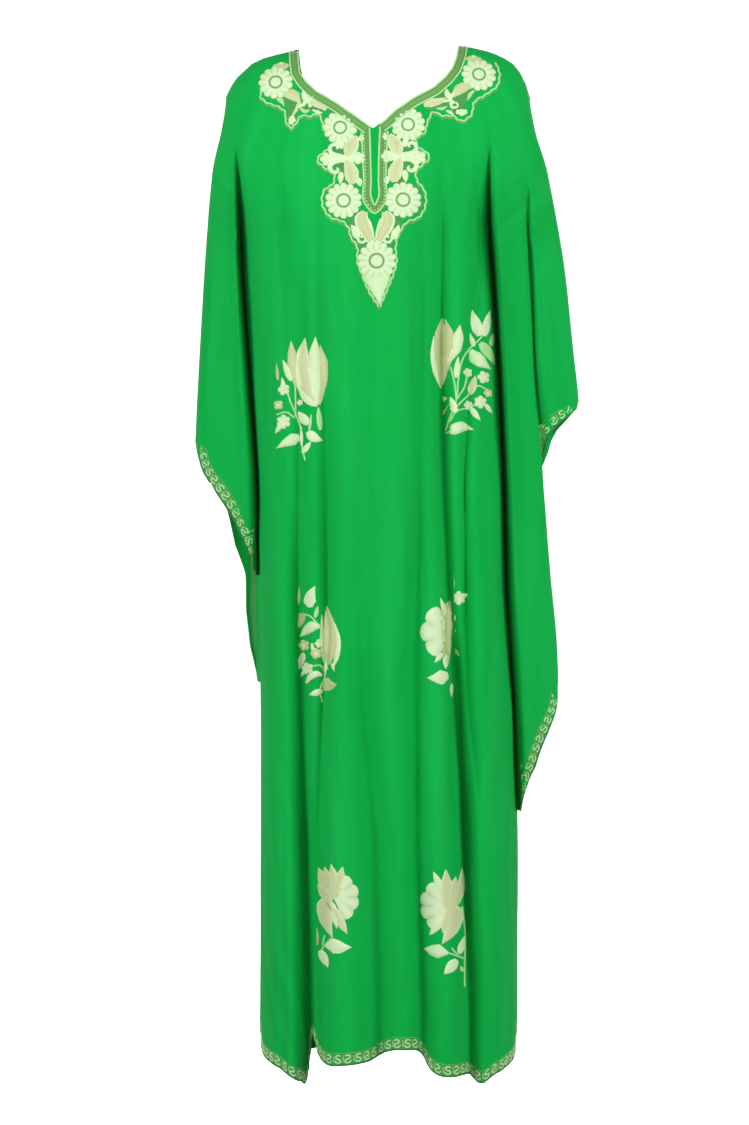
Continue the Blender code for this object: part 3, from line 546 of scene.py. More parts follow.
    def all_columns(self, drop: float) -> Array:
        """Works out the grid's columns, with the wings cut back to their hems.

        Args:
            drop: how far below the shoulder line.

        Returns:
            Every column, from left to right.
        """
        wing = np.linspace(0.0, 2.0, 2 * self.wing_columns_each + 1)[1:]
        cut = []
        for rows in self.reaches:
            reach = np.interp(drop, [row.drop for row in rows], [row.columns for row in rows])
            cut.append(np.where(wing > 1.0, 1.0 + (wing - 1.0) * max(0.0, reach - 1.0), wing * min(1.0, reach)))
        return np.concatenate([LEFT_SEAM - cut[0][::-1], self.body_columns, RIGHT_SEAM + cut[1]])

    def sections(self, columns: Array, first: float, last: float) -> Array:
        """The sewn sections at every LEVEL_STEP from one drop to another."""
        return np.array([self.section(columns, drop) for drop in np.arange(first, last, LEVEL_STEP)])

    def shoulder_rows(self) -> list[Array]:
        """Works out the rows from the neckline down to SHOULDER_SPAN.

        Returns:
            The rows, as points in metres.
        """
        columns = self.all_columns(SHOULDER_SPAN)
        table = self.sections(columns, OPEN_ABOVE, SHOULDER_SPAN + NEAR)
        neck = rim_at(self.neckline, columns)
        in_neck = ((columns >= NECK_LEFT) & (columns <= NECK_RIGHT))[:, None]
        edge = self.edge(columns)
        strip = np.linspace(-1.0, 0.0, self.neck_rows + 1)[:-1]
        shares = [*strip, *(np.linspace(0.0, 1.0, self.shoulder_count + 1)[:-1] ** self.top_crowding)]
        rows = []
        for share in shares:
            rim = np.where(in_neck & (share < 0), edge + (neck - edge) * -min(share, 0.0), edge)
            down = max(share, 0.0)
            top = rim[:, 1] / CM
            drop = top + (SHOULDER_SPAN - top) * down
            hung = read_levels(table, OPEN_ABOVE, drop)
            x = hung[:, 0] + (rim[:, 0] - table[0, :, 0]) * (1.0 - smooth(down))
            away = np.sin(np.pi * down**0.6) * self.neck_spread
            for way, corner in ((-1.0, NECK_LEFT), (1.0, NECK_RIGHT)):
                x += way * away * np.exp(-(((columns - corner) / self.neck_spread_columns) ** 2))
            half_width = max(abs(x[0]), abs(x[-1]))
            out = self.fullness(x, hung[:, 1], drop, half_width)
            out[[0, -1]] = SEAM_GAP / 2
            rows.append(np.stack([x, self.side.value * out, -drop * CM], axis=1))
        return rows

    def hanging_row(self, drop: float) -> Array:
        """Works out one level row at or below SHOULDER_SPAN.

        Args:
            drop: how far below the shoulder line.

        Returns:
            Its points, in metres.
        """
        columns = self.all_columns(drop)
        x, out = self.section(columns, drop).T
        if drop < SEWN_BELOW:
            tips = self.section(np.array([LEFT_FOLD, RIGHT_FOLD]), drop)[:, 0]
            inside = (columns > LEFT_FOLD) & (columns < RIGHT_FOLD)
            out = np.where(inside, self.fullness(x, out, np.full(len(x), drop), np.abs(tips).max()), out)
        return np.stack([x, self.side.value * out, np.full(len(x), -drop * CM)], axis=1)

    def hem_rows(self) -> list[Array]:
        """Works out the rows that run from level at HEM_SPAN into the rounded hem.

        Returns:
            The rows, as points in metres.
        """
        columns = self.all_columns(HEM_SPAN)
        table = self.sections(columns, HEM_SPAN, LOWEST)
        stations, ends = (np.array(reading) for reading in zip(*self.hem))
        ends = through(ends[:, None], stations, np.clip(columns, LEFT_SEAM, RIGHT_SEAM))[:, 0]
        rows = []
        for step in np.linspace(0.0, 1.0, self.hem_count + 1)[1:]:
            drop = HEM_SPAN + (ends - HEM_SPAN) * step
            point = read_levels(table, HEM_SPAN, drop)
            rows.append(np.stack([point[:, 0], self.side.value * point[:, 1], -drop * CM], axis=1))
        return rows

    def lay_out(self) -> None:
        """Works out the cloth's points, normals, cells and the places of its threads."""
        each = self.columns_each
        marks = (LEFT_SEAM, NECK_LEFT, NECK_TIP, NECK_RIGHT, RIGHT_SEAM)
        spans = [np.linspace(a, b, round((b - a) * each) + 1) for a, b in zip(marks, marks[1:])]
        self.body_columns = np.unique(np.concatenate(spans))
        rows = self.shoulder_rows()
        drops = [self.stops[0]]
        for low, high in zip(self.stops, self.stops[1:]):
            count = math.ceil((high - low) / self.row_step)
            drops += list(np.linspace(low, high, count + 1)[1:])
        rows += [self.hanging_row(drop) for drop in drops]
        grid = np.array(rows + self.hem_rows())
        self.find_cells(grid)
        self.uv = self.thread_places(grid)
        grid = self.rippled(grid)
        self.outer = grid
        self.normals = self.directions(grid)
        self.inner = grid - self.normals * WALL
        self.inner[..., 1] = self.side.value * np.maximum(self.side.value * self.inner[..., 1], SEAM_GAP / 2)
        self.tree = BVHTree.FromPolygons(grid.reshape(-1, 3).tolist(), self.quads()[self.cells].tolist())

    def wing_drops(self, which: int) -> Triple:
        """Reads where a wing's hem runs.

        Args:
            which: 0 for the left wing, 1 for the right one.

        Returns:
            The drops of its outer end, of the place where only the inner half is left, and of its last point.
        """
        reach = self.reaches[which]
        lobe = min(row.drop for row in reach if row.columns < LOBE_COLUMNS)
        return min(row.drop for row in reach) - NEAR, lobe + NEAR, max(row.drop for row in reach) + NEAR

    def find_cells(self, grid: Array) -> None:
        """Marks the cells that are cloth: down to the wings' hems, and the neck's strip.

        Args:
            grid: the cloth's points.
        """
        rows, columns = grid.shape[:2]
        cells = np.ones((rows - 1, columns - 1), bool)
        each, body = self.wing_columns_each, len(self.body_columns)
        level = self.all_columns(SHOULDER_SPAN)
        in_neck = (level[:-1] >= NECK_LEFT - 1e-6) & (level[1:] <= NECK_RIGHT + 1e-6)
        cells[: self.neck_rows] = in_neck
        bottoms = -grid[1:, :, 2] / CM
        for which in (0, 1):
            _, lobe, last = self.wing_drops(which)
            first = 0 if which == 0 else 2 * each + body - 1
            for column in range(first, first + 2 * each):
                from_seam = 2 * each - 1 - column if which == 0 else column - first
                limit = lobe if from_seam >= each else last
                cells[bottoms[:, column] >= limit, column] = False
        self.cells = cells

    def thread_places(self, grid: Array) -> Array:
        """Lays the cloth flat, for its threads.

        Args:
            grid: the cloth's points.

        Returns:
            Across from the middle and down, in metres, for each point.
        """
        across = np.linalg.norm(np.diff(grid, axis=1), axis=2)
        run = np.concatenate([np.zeros((grid.shape[0], 1)), np.cumsum(across, axis=1)], axis=1)
        middle = 2 * self.wing_columns_each + int(np.argmin(np.abs(self.body_columns - NECK_TIP)))
        return np.stack([run - run[:, middle : middle + 1], -grid[:, :, 2]], axis=2)

    def rippled(self, grid: Array) -> Array:
        """Adds the small soft waves of thin cotton, which die out at seams and edges.

        Args:
            grid: the cloth's points.

        Returns:
            The points, moved.
        """
        generator = np.random.default_rng(self.seed)
        u, v = self.uv[..., 0], self.uv[..., 1]
        lift = np.zeros(u.shape)
        for wave, tall, size in self.waves:
            for _ in range(self.waves_each):
                turn, sway, lean = generator.uniform(0, 2 * np.pi, 3)
                drift = 0.35 * np.sin(2 * np.pi * v / tall + sway)
                swell = 0.55 + 0.45 * np.sin(2 * np.pi * v / (1.7 * tall) + lean)
                lift += size * MM * swell * np.sin(2 * np.pi * (u / wave + drift) + turn)
        level = self.all_columns(SHOULDER_SPAN)
        from_seam = np.minimum.reduce([np.abs(level - at) for at in (LEFT_FOLD, LEFT_SEAM, RIGHT_SEAM, RIGHT_FOLD)])
        fade = smooth(from_seam / self.calm_columns)[None, :] * smooth((v - 0.02) / 0.10)
        return grid + self.directions(grid) * (lift * fade * self.wave_share)[..., None]

    def directions(self, points: Array) -> Array:
        """Works out which way is outwards, turned at seams so that the cloths meet evenly.

        Args:
            points: the cloth's points.

        Returns:
            A direction of length 1 at each.
        """
        facing = np.cross(points[1:, 1:] - points[:-1, :-1], points[1:, :-1] - points[:-1, 1:]) * self.side.value
        size = np.linalg.norm(facing, axis=2, keepdims=True)
        facing = np.where(size > 1e-10, facing / size.clip(1e-10), 0.0)
        facing[~self.cells] = 0.0
        total = np.zeros(points.shape)
        for down in (0, 1):
            for across in (0, 1):
                total[down : down + facing.shape[0], across : across + facing.shape[1]] += facing
        normal = unit(total)
        seams = (2 * self.wing_columns_each, 2 * self.wing_columns_each + len(self.body_columns) - 1)
        for column in seams:
            sewn = sewn_share(-points[:, column, 2] / CM)[:, None]
            square = np.array([0.0, self.side.value, 0.0])
            normal[:, column] = unit((1 - sewn) * normal[:, column] + sewn * square)
        meets = np.abs(np.abs(points[:, :, 1]) - SEAM_GAP / 2) < NEAR * MM
        level = normal[meets] * (1.0, 0.0, 1.0)
        length = np.linalg.norm(level, axis=1, keepdims=True)
        corner = unit(np.stack([np.sign(points[meets, 0]), 0 * length[:, 0], 0 * length[:, 0] + 0.6], axis=1))
        normal[meets] = np.where(length > 0.2, level / length.clip(0.2), corner)
        return normal

    def quads(self) -> Array:
        """The four points of each cell of the grid, by number."""
        index = np.arange(self.outer[..., 0].size).reshape(self.outer.shape[:2])
        return np.stack([index[:-1, :-1], index[1:, :-1], index[1:, 1:], index[:-1, 1:]], axis=-1)

    def area(self) -> float:
        """Square metres of the cloth's outer face."""
        a, b = self.outer[1:, 1:] - self.outer[:-1, :-1], self.outer[1:, :-1] - self.outer[:-1, 1:]
        return float((np.linalg.norm(np.cross(a, b), axis=2) / 2)[self.cells].sum())


# ---- meshes ----


def tidy_mesh(piece: bpy.types.Object) -> None:
    """Merges doubles, drops faces without area, turns faces outwards and shades them smooth.

    Args:
        piece: the piece to tidy.
    """
    bpy.ops.object.select_all(action="DESELECT")
    bpy.context.view_layer.objects.active = piece
    piece.select_set(True)
    bpy.ops.object.mode_set(mode="EDIT")
    bpy.ops.mesh.select_all(action="SELECT")
    bpy.ops.mesh.remove_doubles(threshold=0.02 * MM)
    bpy.ops.mesh.dissolve_degenerate(threshold=NEAR * MM)
    bpy.ops.mesh.select_all(action="SELECT")
    bpy.ops.mesh.normals_make_consistent(inside=False)
    bpy.ops.object.mode_set(mode="OBJECT")
    bpy.ops.object.shade_smooth_by_angle(angle=math.radians(SMOOTH_BELOW))
    piece.select_set(False)


def new_piece(
    name: str,
    points: Array,
    faces: Array,
    layer: str,
    places: Array,
    threads: Array | None = None,
) -> bpy.types.Object:
    """Makes a piece.

    Args:
        name: the piece's name.
        points: its points, in metres.
        faces: the four points of each face.
        layer: the name of its map.
        places: where each point lies on the map, in metres.
        threads: a colour for each point, where it has them.

    Returns:
        The piece.
    """
    mesh = bpy.data.meshes.new(name)
    mesh.from_pydata(points.tolist(), [], faces.tolist())
    corners = places[faces.reshape(-1)].astype(np.float32).ravel()
    mesh.uv_layers.new(name=layer).data.foreach_set("uv", corners)
    if threads is not None:
        colours = np.concatenate([threads, np.ones((len(threads), 1))], axis=1).astype(np.float32).ravel()
        attribute = mesh.color_attributes.new(name="thread", type="FLOAT_COLOR", domain="POINT")
        attribute.data.foreach_set("color", colours)
    mesh.update()
    piece = bpy.data.objects.new(name, mesh)
    bpy.context.scene.collection.objects.link(piece)
    tidy_mesh(piece)
    return piece


class MeshPile:
    """Points and faces of one piece, with a stitch map in metres and a thread colour for each point."""

    def __init__(self, name: str) -> None:
        """Starts an empty piece of this name."""
        self.name, self.count = name, 0
        self.points, self.faces, self.places, self.colours = [], [], [], []

    def add_grid(self, points: Array, uv: Array, colour: Array, wrap: bool = False) -> None:
        """Adds a grid of points as quads.

        Args:
            points: rows x columns x 3.
            uv: rows x columns x 2, in metres.
            colour: rows x columns x 3, or one colour.
            wrap: whether the last column joins the first.
        """
        rows, columns = points.shape[:2]
        index = self.count + np.arange(rows * columns).reshape(rows, columns)
        right = np.roll(index, -1, axis=1) if wrap else index[:, 1:]
        here = index if wrap else index[:, :-1]
        quads = np.stack([here[:-1], here[1:], right[1:], right[:-1]], axis=-1).reshape(-1, 4)
        self.points.append(points.reshape(-1, 3))
        self.faces.append(quads)
        self.places.append(np.broadcast_to(uv, points.shape[:2] + (2,)).reshape(-1, 2))
        self.colours.append(np.broadcast_to(colour, points.shape).reshape(-1, 3))
        self.count += rows * columns

    def build(self) -> bpy.types.Object:
        """Makes the piece of all that was added."""
        points, faces, places, colours = map(np.concatenate, (self.points, self.faces, self.places, self.colours))
        return new_piece(self.name, points, faces, "stitch_map", places, colours)


def cloth_piece(cloth: Cloth, name: str) -> bpy.types.Object:
    """Makes the cloth a thin closed sheet: its outer face, its inner face and its cut edges.

    Args:
        cloth: the cloth, laid out.
        name: the piece's name.

    Returns:
        The piece.
    """
    count, cells, quads = cloth.outer[..., 0].size, cloth.cells, cloth.quads()
    outer = quads[cells]
    padded = np.pad(cells, 1)
    rims = []
    for start, end, down, across in ((0, 1, 1, 0), (1, 2, 2, 1), (2, 3, 1, 2), (3, 0, 0, 1)):
        beside = padded[down : down + cells.shape[0], across : across + cells.shape[1]]
        open_cells = quads[cells & ~beside]
        a, b = open_cells[:, start], open_cells[:, end]
        rims.append(np.stack([b, a, a + count, b + count], axis=1))
    faces = np.concatenate([outer, outer[:, ::-1] + count, *rims])
    used, compact = np.unique(faces, return_inverse=True)
    points = np.concatenate([cloth.outer.reshape(-1, 3), cloth.inner.reshape(-1, 3)])[used]
    threads = np.concatenate([cloth.uv.reshape(-1, 2)] * 2)[used]
    return new_piece(name, points, compact.reshape(faces.shape), "thread_map", threads)


# ---- finishes ----


class Socket:
    """A shader value that takes part in Python arithmetic; each operation adds its Math node."""

    def __init__(self, bench: "Bench", output: bpy.types.NodeSocket) -> None:
        """Wraps one output of a node on a bench."""
        self.bench, self.output = bench, output

    def combine(self, operation: str, *others: "Socket | float", flipped: bool = False) -> "Socket":
        """A Math node on this value and others; flipped puts this value last."""
        terms = [*others, self] if flipped else [self, *others]
        return self.bench.node("Math", {"operation": operation}, dict(enumerate(terms)))

    def __add__(self, other: "Socket | float") -> "Socket":
        """This plus other."""
        return self.combine("ADD", other)

    def __sub__(self, other: "Socket | float") -> "Socket":
        """This minus other."""
        return self.combine("SUBTRACT", other)

    def __rsub__(self, other: float) -> "Socket":
        """Other minus this."""
        return self.combine("SUBTRACT", other, flipped=True)

    def __mul__(self, other: "Socket | float") -> "Socket":
        """This times other."""
        return self.combine("MULTIPLY", other)

    __radd__, __rmul__ = __add__, __mul__

    def sine(self) -> "Socket":
        """The sine of this."""
        return self.combine("SINE")

    def size(self) -> "Socket":
        """This without its sign."""
        return self.combine("ABSOLUTE")


class Bench:
    """A material while it is being made, with its nodes and its shader."""

    def __init__(self, name: str) -> None:
        """Starts a material.

        Args:
            name: what it is called.
        """
        self.material = bpy.data.materials.new(name)
        self.material.use_nodes = True
        self.tree = self.material.node_tree
        self.shader = self.tree.nodes["Principled BSDF"]

    def node(
        self, kind: str, settings: dict | None = None, inputs: dict | None = None, output: int | str = 0
    ) -> Socket:
        """Adds any node.

        Args:
            kind: the node's type, after "ShaderNode".
            settings: its settings, such as an operation.
            inputs: values or sockets for its inputs, by name or number.
            output: which output to return.

        Returns:
            The output, wrapped.
        """
        made = self.tree.nodes.new(f"ShaderNode{kind}")
        for key, value in (settings or {}).items():
            setattr(made, key, value)
        for key, value in (inputs or {}).items():
            if isinstance(value, Socket):
                self.tree.links.new(value.output, made.inputs[key])
            else:
                made.inputs[key].default_value = value
        return Socket(self, made.outputs[output])

    def noise(self, place: Socket, scale: float, detail: float, **more: float) -> Socket:
        """Soft noise at a place."""
        return self.node("TexNoise", inputs={"Vector": place, "Scale": scale, "Detail": detail, **more})

    def streaks(self, place: Socket, stretch: tuple, detail: float) -> Socket:
        """Noise drawn out by a stretch."""
        drawn = self.node("Mapping", inputs={"Vector": place, "Scale": stretch})
        return self.noise(drawn, 1.0, detail)

    def part(self, place: Socket, axis: str) -> Socket:
        """One axis of a place."""
        return self.node("SeparateXYZ", inputs={0: place}, output=axis)

    def bump(self, height: Socket, strength: float, distance: float, **more: Socket) -> Socket:
        """Relief from a height."""
        return self.node("Bump", inputs={"Height": height, "Strength": strength, "Distance": distance, **more})

    def mixed(self, share: Socket, low: Socket | tuple, high: Socket | tuple, way: str = "MIX") -> Socket:
        """A colour between two, by share."""
        low, high = (colour if isinstance(colour, Socket) else (*colour, 1.0) for colour in (low, high))
        return self.node("Mix", {"data_type": "RGBA", "blend_type": way}, {0: share, 6: low, 7: high}, 2)

    def finish(self, links: dict[str, Socket], **values: float | tuple) -> bpy.types.Material:
        """Gives the shader what changes over the surface and what is the same all over it.

        Args:
            links: what changes, by the name of its socket.
            values: what doesn't, with _ for each space in the name.

        Returns:
            The material.
        """
        for name, socket in links.items():
            self.tree.links.new(socket.output, self.shader.inputs[name])
        for name, value in values.items():
            self.shader.inputs[name.replace("_", " ")].default_value = value
        return self.material


@dataclass(frozen=True)
class GreenCotton:
    """Thin plain-woven cotton, dyed bright green, with the soft unevenness of worn cloth."""

    colour: Triple = (0.0016, 0.364, 0.0576)
    pale: Triple = (0.008, 0.416, 0.0784)
    deep: Triple = (0.0008, 0.304, 0.0416)
    thread_pitch: float = 0.75 * MM
    thread_height: float = 0.12 * MM
    uneven: float = 3.0
    streak_stretch: Triple = (26.0, 1.6, 1.0)
    slub_stretch: Triple = (900.0, 60.0, 1.0)
    crease_scale: float = 38.0
    crease_height: float = 1.2 * MM
    roughness: float = 0.82

    def make(self) -> bpy.types.Material:
        """Makes the material.

        Returns:
            The material.
        """
        bench = Bench("green_cotton_cloth")
        place = bench.node("TexCoord", output="UV")
        turn = 2 * math.pi / self.thread_pitch
        wander = bench.noise(place, 240.0, 2.0) * self.uneven
        warp, weft = ((bench.part(place, axis) * turn + wander).sine() for axis in "XY")
        cloud = bench.noise(bench.node("TexCoord", output="Object"), 5.5, 4.0, Roughness=0.55)
        streaks = bench.streaks(place, self.streak_stretch, 3.0)
        slub = bench.streaks(place, self.slub_stretch, 1.0)
        tone = bench.mixed(cloud * 1.1 - 0.05, self.deep, self.colour)
        tone = bench.mixed((streaks - 0.42) * 1.6, tone, self.pale)
        tone = bench.mixed((slub - 0.5).size() * 0.5, tone, self.pale)
        rough = cloud * 0.12 + (self.roughness - 0.06)
        woven = bench.bump(warp * weft + slub * 0.8, 0.25, self.thread_height)
        creases = bench.noise(place, self.crease_scale, 5.0, Roughness=0.6)
        wear_and_shade = bench.bump(creases, 0.22, self.crease_height, Normal=woven)
        links = {"Base Color": tone, "Roughness": rough, "Normal": wear_and_shade}
        sheen = {"Sheen_Weight": 0.02, "Sheen_Roughness": 0.5, "Sheen_Tint": (0.4, 1.0, 0.5, 1.0)}
        return bench.finish(links, Metallic=0.0, Specular_IOR_Level=0.05, **sheen)


@dataclass(frozen=True)
class Thread:
    """Embroidery thread, coloured by the piece, with its stitches side by side along the stitch map, and painted shade
    in the hollows between the stitches.
    """

    name: str
    pitch: float
    roughness: float
    relief: float
    chained: bool = False
    chain_lean: float = 0.9
    # the darker tint multiplied into the thread colour: painted shade in the hollows between stitches, and random
    # patchy tone
    between: Triple = (0.45, 0.50, 0.28)

    def make(self) -> bpy.types.Material:
        """Makes the material.

        Returns:
            The material.
        """
        bench = Bench(self.name)
        place = bench.node("TexCoord", output="UV")
        own = bench.node("Attribute", {"attribute_name": "thread"})
        wobble = bench.noise(place, 900.0, 2.0)
        turned = bench.part(place, "X") * (2 * math.pi / self.pitch)
        if self.chained:
            turned = turned + bench.part(place, "Y").size() * (self.chain_lean / self.pitch) * 2 * math.pi
        stitch = (turned + wobble * (0.8 if self.chained else 1.6)).sine() * 0.5 + 0.5
        patches = bench.noise(place, 260.0, 2.0)
        # painted shade: darker where the stitch relief sinks between stitches; the patches add random patchy tone
        wear_and_shade = (1.0 - stitch) * 0.30 + (patches - 0.5).size() * 0.55
        links = {
            "Base Color": bench.mixed(wear_and_shade, own, self.between, "MULTIPLY"),
            "Roughness": patches * 0.2 + (self.roughness - 0.1),
            "Normal": bench.bump(stitch, 0.5, self.relief),
        }
        return bench.finish(links, Metallic=0.0, Sheen_Weight=0.12, Sheen_Roughness=0.4, Specular_IOR_Level=0.35)


@dataclass(frozen=True)
class StudioPaper:
    """Pale seamless paper for the floor and the backdrop."""

    colour: Triple = (0.93, 0.93, 0.93)
    fleck: Triple = (0.85, 0.85, 0.85)
    glow: float = 1.0

    def make(self) -> bpy.types.Material:
        """Makes the material.

        Returns:
            The material.
        """
        bench = Bench("studio_paper")
        grain = bench.noise(bench.node("TexCoord", output="Object"), 60.0, 3.0)
        links = {"Base Color": bench.mixed(grain * 0.04, self.colour, self.fleck)}
        return bench.finish(links, Roughness=0.9, Emission_Color=(1.0, 1.0, 1.0, 1.0), Emission_Strength=self.glow)


# ---- studio ----


@dataclass
class Studio:
    """A round pale cove, soft lights and the camera. A light's face is its width and height."""

    floor_z: float = -1.78
    radius: float = 12.5
    height: float = 9.0
    curve: float = 1.6
    curve_steps: int = 12
    around: int = 96
    camera_place: Triple = (-0.0049, -4.5, -0.7217)
    camera_reach: float = 100.0
    frame_height: float = 1.575
    sensor: float = 36.0
    light_distance: float = 4.8
    light_height: float = 0.9
    side_turn: float = 52.0
    side_face: Pair = (3.4, 2.0)
    side_watts: float = 205.0
    front_face: Pair = (3.3, 1.0)
    front_watts: float = 84.0
    back_place: Triple = (0.4, 5.0, 0.8)
    back_aim: Triple = (-0.4, -5.0, -1.5)
    back_face: Pair = (2.4, 2.4)
    back_watts: float = 262.0
    sky: float = 0.15

    def cove(self, paper: bpy.types.Material) -> bpy.types.Object:
        """Makes a floor that curves up all round into the backdrop.

        Args:
            paper: its material.

        Returns:
            The cove.
        """
        bpy.ops.object.select_all(action="DESELECT")
        flat = self.radius - self.curve
        bpy.ops.mesh.primitive_circle_add(
            vertices=self.around, radius=flat, fill_type="TRIFAN", location=(0.0, 0.0, self.floor_z)
        )
        cove = bpy.context.object
        cove.name = "studio_cove"
        bpy.ops.object.transform_apply(location=True, rotation=True, scale=True)
        bpy.ops.object.mode_set(mode="EDIT")
        bpy.ops.mesh.select_all(action="SELECT")
        bpy.ops.mesh.select_mode(type="EDGE")
        bpy.ops.mesh.region_to_loop()
        size, rise = flat, 0.0
        for step in range(1, self.curve_steps + 1):
            turn = math.radians(90.0 / self.curve_steps * step)
            wide, high = flat + self.curve * math.sin(turn), self.curve * (1.0 - math.cos(turn))
            bpy.ops.mesh.extrude_region_move(TRANSFORM_OT_translate={"value": (0.0, 0.0, high - rise)})
            bpy.ops.transform.resize(value=(wide / size, wide / size, 1.0), center_override=(0.0, 0.0, 0.0))
            size, rise = wide, high
        bpy.ops.mesh.extrude_region_move(TRANSFORM_OT_translate={"value": (0.0, 0.0, self.height - rise)})
        bpy.ops.mesh.select_all(action="SELECT")
        bpy.ops.mesh.normals_make_consistent(inside=True)
        bpy.ops.object.mode_set(mode="OBJECT")
        bpy.ops.object.shade_smooth()
        cove.data.materials.append(paper)
        cove.visible_diffuse = cove.visible_shadow = False
        return cove

    def soft_box(self, name: str, place: tuple, aim: tuple, face: Pair, watts: float) -> None:
        """Adds one soft light.

        Args:
            name: its name.
            place: where it stands.
            aim: the way it faces.
            face: its width and height.
            watts: its power.
        """
        data = bpy.data.lights.new(name, type="AREA")
        data.shape, data.energy = "RECTANGLE", watts
        data.size, data.size_y = face
        lamp = bpy.data.objects.new(name, data)
        lamp.location, lamp.rotation_euler = place, Vector(aim).to_track_quat("-Z", "Y").to_euler()
        lamp.visible_camera = False
        bpy.context.scene.collection.objects.link(lamp)

    def camera(self) -> None:
        """Adds the camera, level and straight in front."""
        data = bpy.data.cameras.new("camera")
        data.sensor_fit, data.sensor_width = "AUTO", self.sensor
        data.lens = self.sensor * -self.camera_place[1] / self.frame_height
        data.clip_end = self.camera_reach
        camera = bpy.data.objects.new("camera", data)
        camera.location, camera.rotation_euler = self.camera_place, (math.radians(90), 0.0, 0.0)
        bpy.context.scene.collection.objects.link(camera)
        bpy.context.scene.camera = camera

    def build(self) -> None:
        """Builds the cove, the lights, the camera and the sky above the cove."""
        self.cove(StudioPaper().make())
        for name, turn, face, watts in (
            ("left_light", -self.side_turn, self.side_face, self.side_watts),
            ("right_light", self.side_turn, self.side_face, self.side_watts),
            ("front_light", 0.0, self.front_face, self.front_watts),
        ):
            across, ahead = math.sin(math.radians(turn)), math.cos(math.radians(turn))
            place = (self.light_distance * across, -self.light_distance * ahead, self.light_height)
            self.soft_box(name, place, (-across, ahead, 0.0), face, watts)
        self.soft_box("back_light", self.back_place, self.back_aim, self.back_face, self.back_watts)
        world = bpy.data.worlds.new("studio_sky")
        world.use_nodes = True
        sky = world.node_tree.nodes["Background"]
        sky.inputs["Color"].default_value, sky.inputs["Strength"].default_value = (1.0, 1.0, 1.0, 1.0), self.sky
        scene = bpy.context.scene
        scene.world = world
        scene.view_settings.view_transform, scene.view_settings.look = "Standard", "None"
        self.camera()


# ---- embroidery ----


def srgb(red: int, green: int, blue: int) -> Array:
    """A colour given as screen values from 0 to 255, made linear."""
    share = np.array([red, green, blue]) / 255.0
    return np.where(share <= 0.04045, share / 12.92, ((share + 0.055) / 1.055) ** 2.4)


class Yarn(Enum):
    """The colours of the embroidery."""

    CREAM = (222, 247, 200)
    MINT = (176, 232, 156)
    BEIGE = (210, 218, 162)
    SAND = (180, 200, 130)
    OLIVE = (104, 164, 80)
    MOSS = (58, 126, 50)
    GROUND = (52, 150, 62)
    ROLLED = (24, 112, 46)

    @property
    def colour(self) -> Array:
        """The yarn's linear colour, as light as dyed thread is."""
        return srgb(*self.value) * THREAD_LIGHTNESS


CREAM, MINT, BEIGE, SAND, OLIVE, MOSS, GROUND, ROLLED = Yarn


def curved(points: list | Array, step: float) -> Array:
    """Draws a smooth path.

    Args:
        points: the points to pass.
        step: about how far apart the path's own points are.

    Returns:
        The path's points.
    """
    points = np.asarray(points, float)
    stops = distances(points)
    count = max(3, math.ceil(stops[-1] / step) + 1)
    if len(points) < 3:
        share = np.linspace(0.0, 1.0, count)[:, None]
        return points[0] * (1 - share) + points[-1] * share
    return through(points, stops, np.linspace(0.0, stops[-1], count))


class Chart:
    """Lays flat patterns, in centimetres, on a cloth; each kind of chart lays a point in its own way."""

    def place(self, flat: Array) -> tuple[Array, Array]:
        """Lays pattern points on the cloth.

        Args:
            flat: the points, in an array of any shape.

        Returns:
            The places on the cloth and the ways it faces there, in the same shape.
        """
        shape = flat.shape[:-1] + (3,)
        points, normals = zip(*(self.lay(*point) for point in flat.reshape(-1, 2)))
        return np.array(points).reshape(shape), np.array(normals).reshape(shape)


@dataclass
class FrontChart(Chart):
    """Lays patterns across and down on the front cloth, as seen from the front.

    A pattern ends at the lips of a deep fold, where the cloth turns away: each lip is a line,
    given as its place across at two drops.
    """

    cloth: Cloth
    left_lip: tuple[Pair, Pair] | None = None
    right_lip: tuple[Pair, Pair] | None = None
    far: float = 1.0
    near: float = 3 * CM
    heart: float = 2 * CM

    def lay(self, across: float, drop: float) -> tuple[tuple, tuple]:
        """Lays one point.

        Args:
            across: how far to the right it is.
            drop: how far down it is.

        Returns:
            Its place on the cloth and the way the cloth faces there.
        """
        for lip, bound in ((self.left_lip, max), (self.right_lip, min)):
            if lip is not None:
                (x0, drop0), (x1, drop1) = lip
                across = bound(across, x0 + (drop - drop0) * (x1 - x0) / (drop1 - drop0))
        x, z = across * CM, -drop * CM
        place, normal, _, _ = self.cloth.tree.ray_cast(Vector((x, -self.far, z)), Vector((0.0, 1.0, 0.0)))
        if place is None or place.y > 0.0:
            place, normal, _, _ = self.cloth.tree.find_nearest(Vector((x, -self.near, z)))
        outward = normal.dot(place - Vector((0.0, self.heart, place.z))) > 0
        return tuple(place), tuple(normal if outward else -normal)


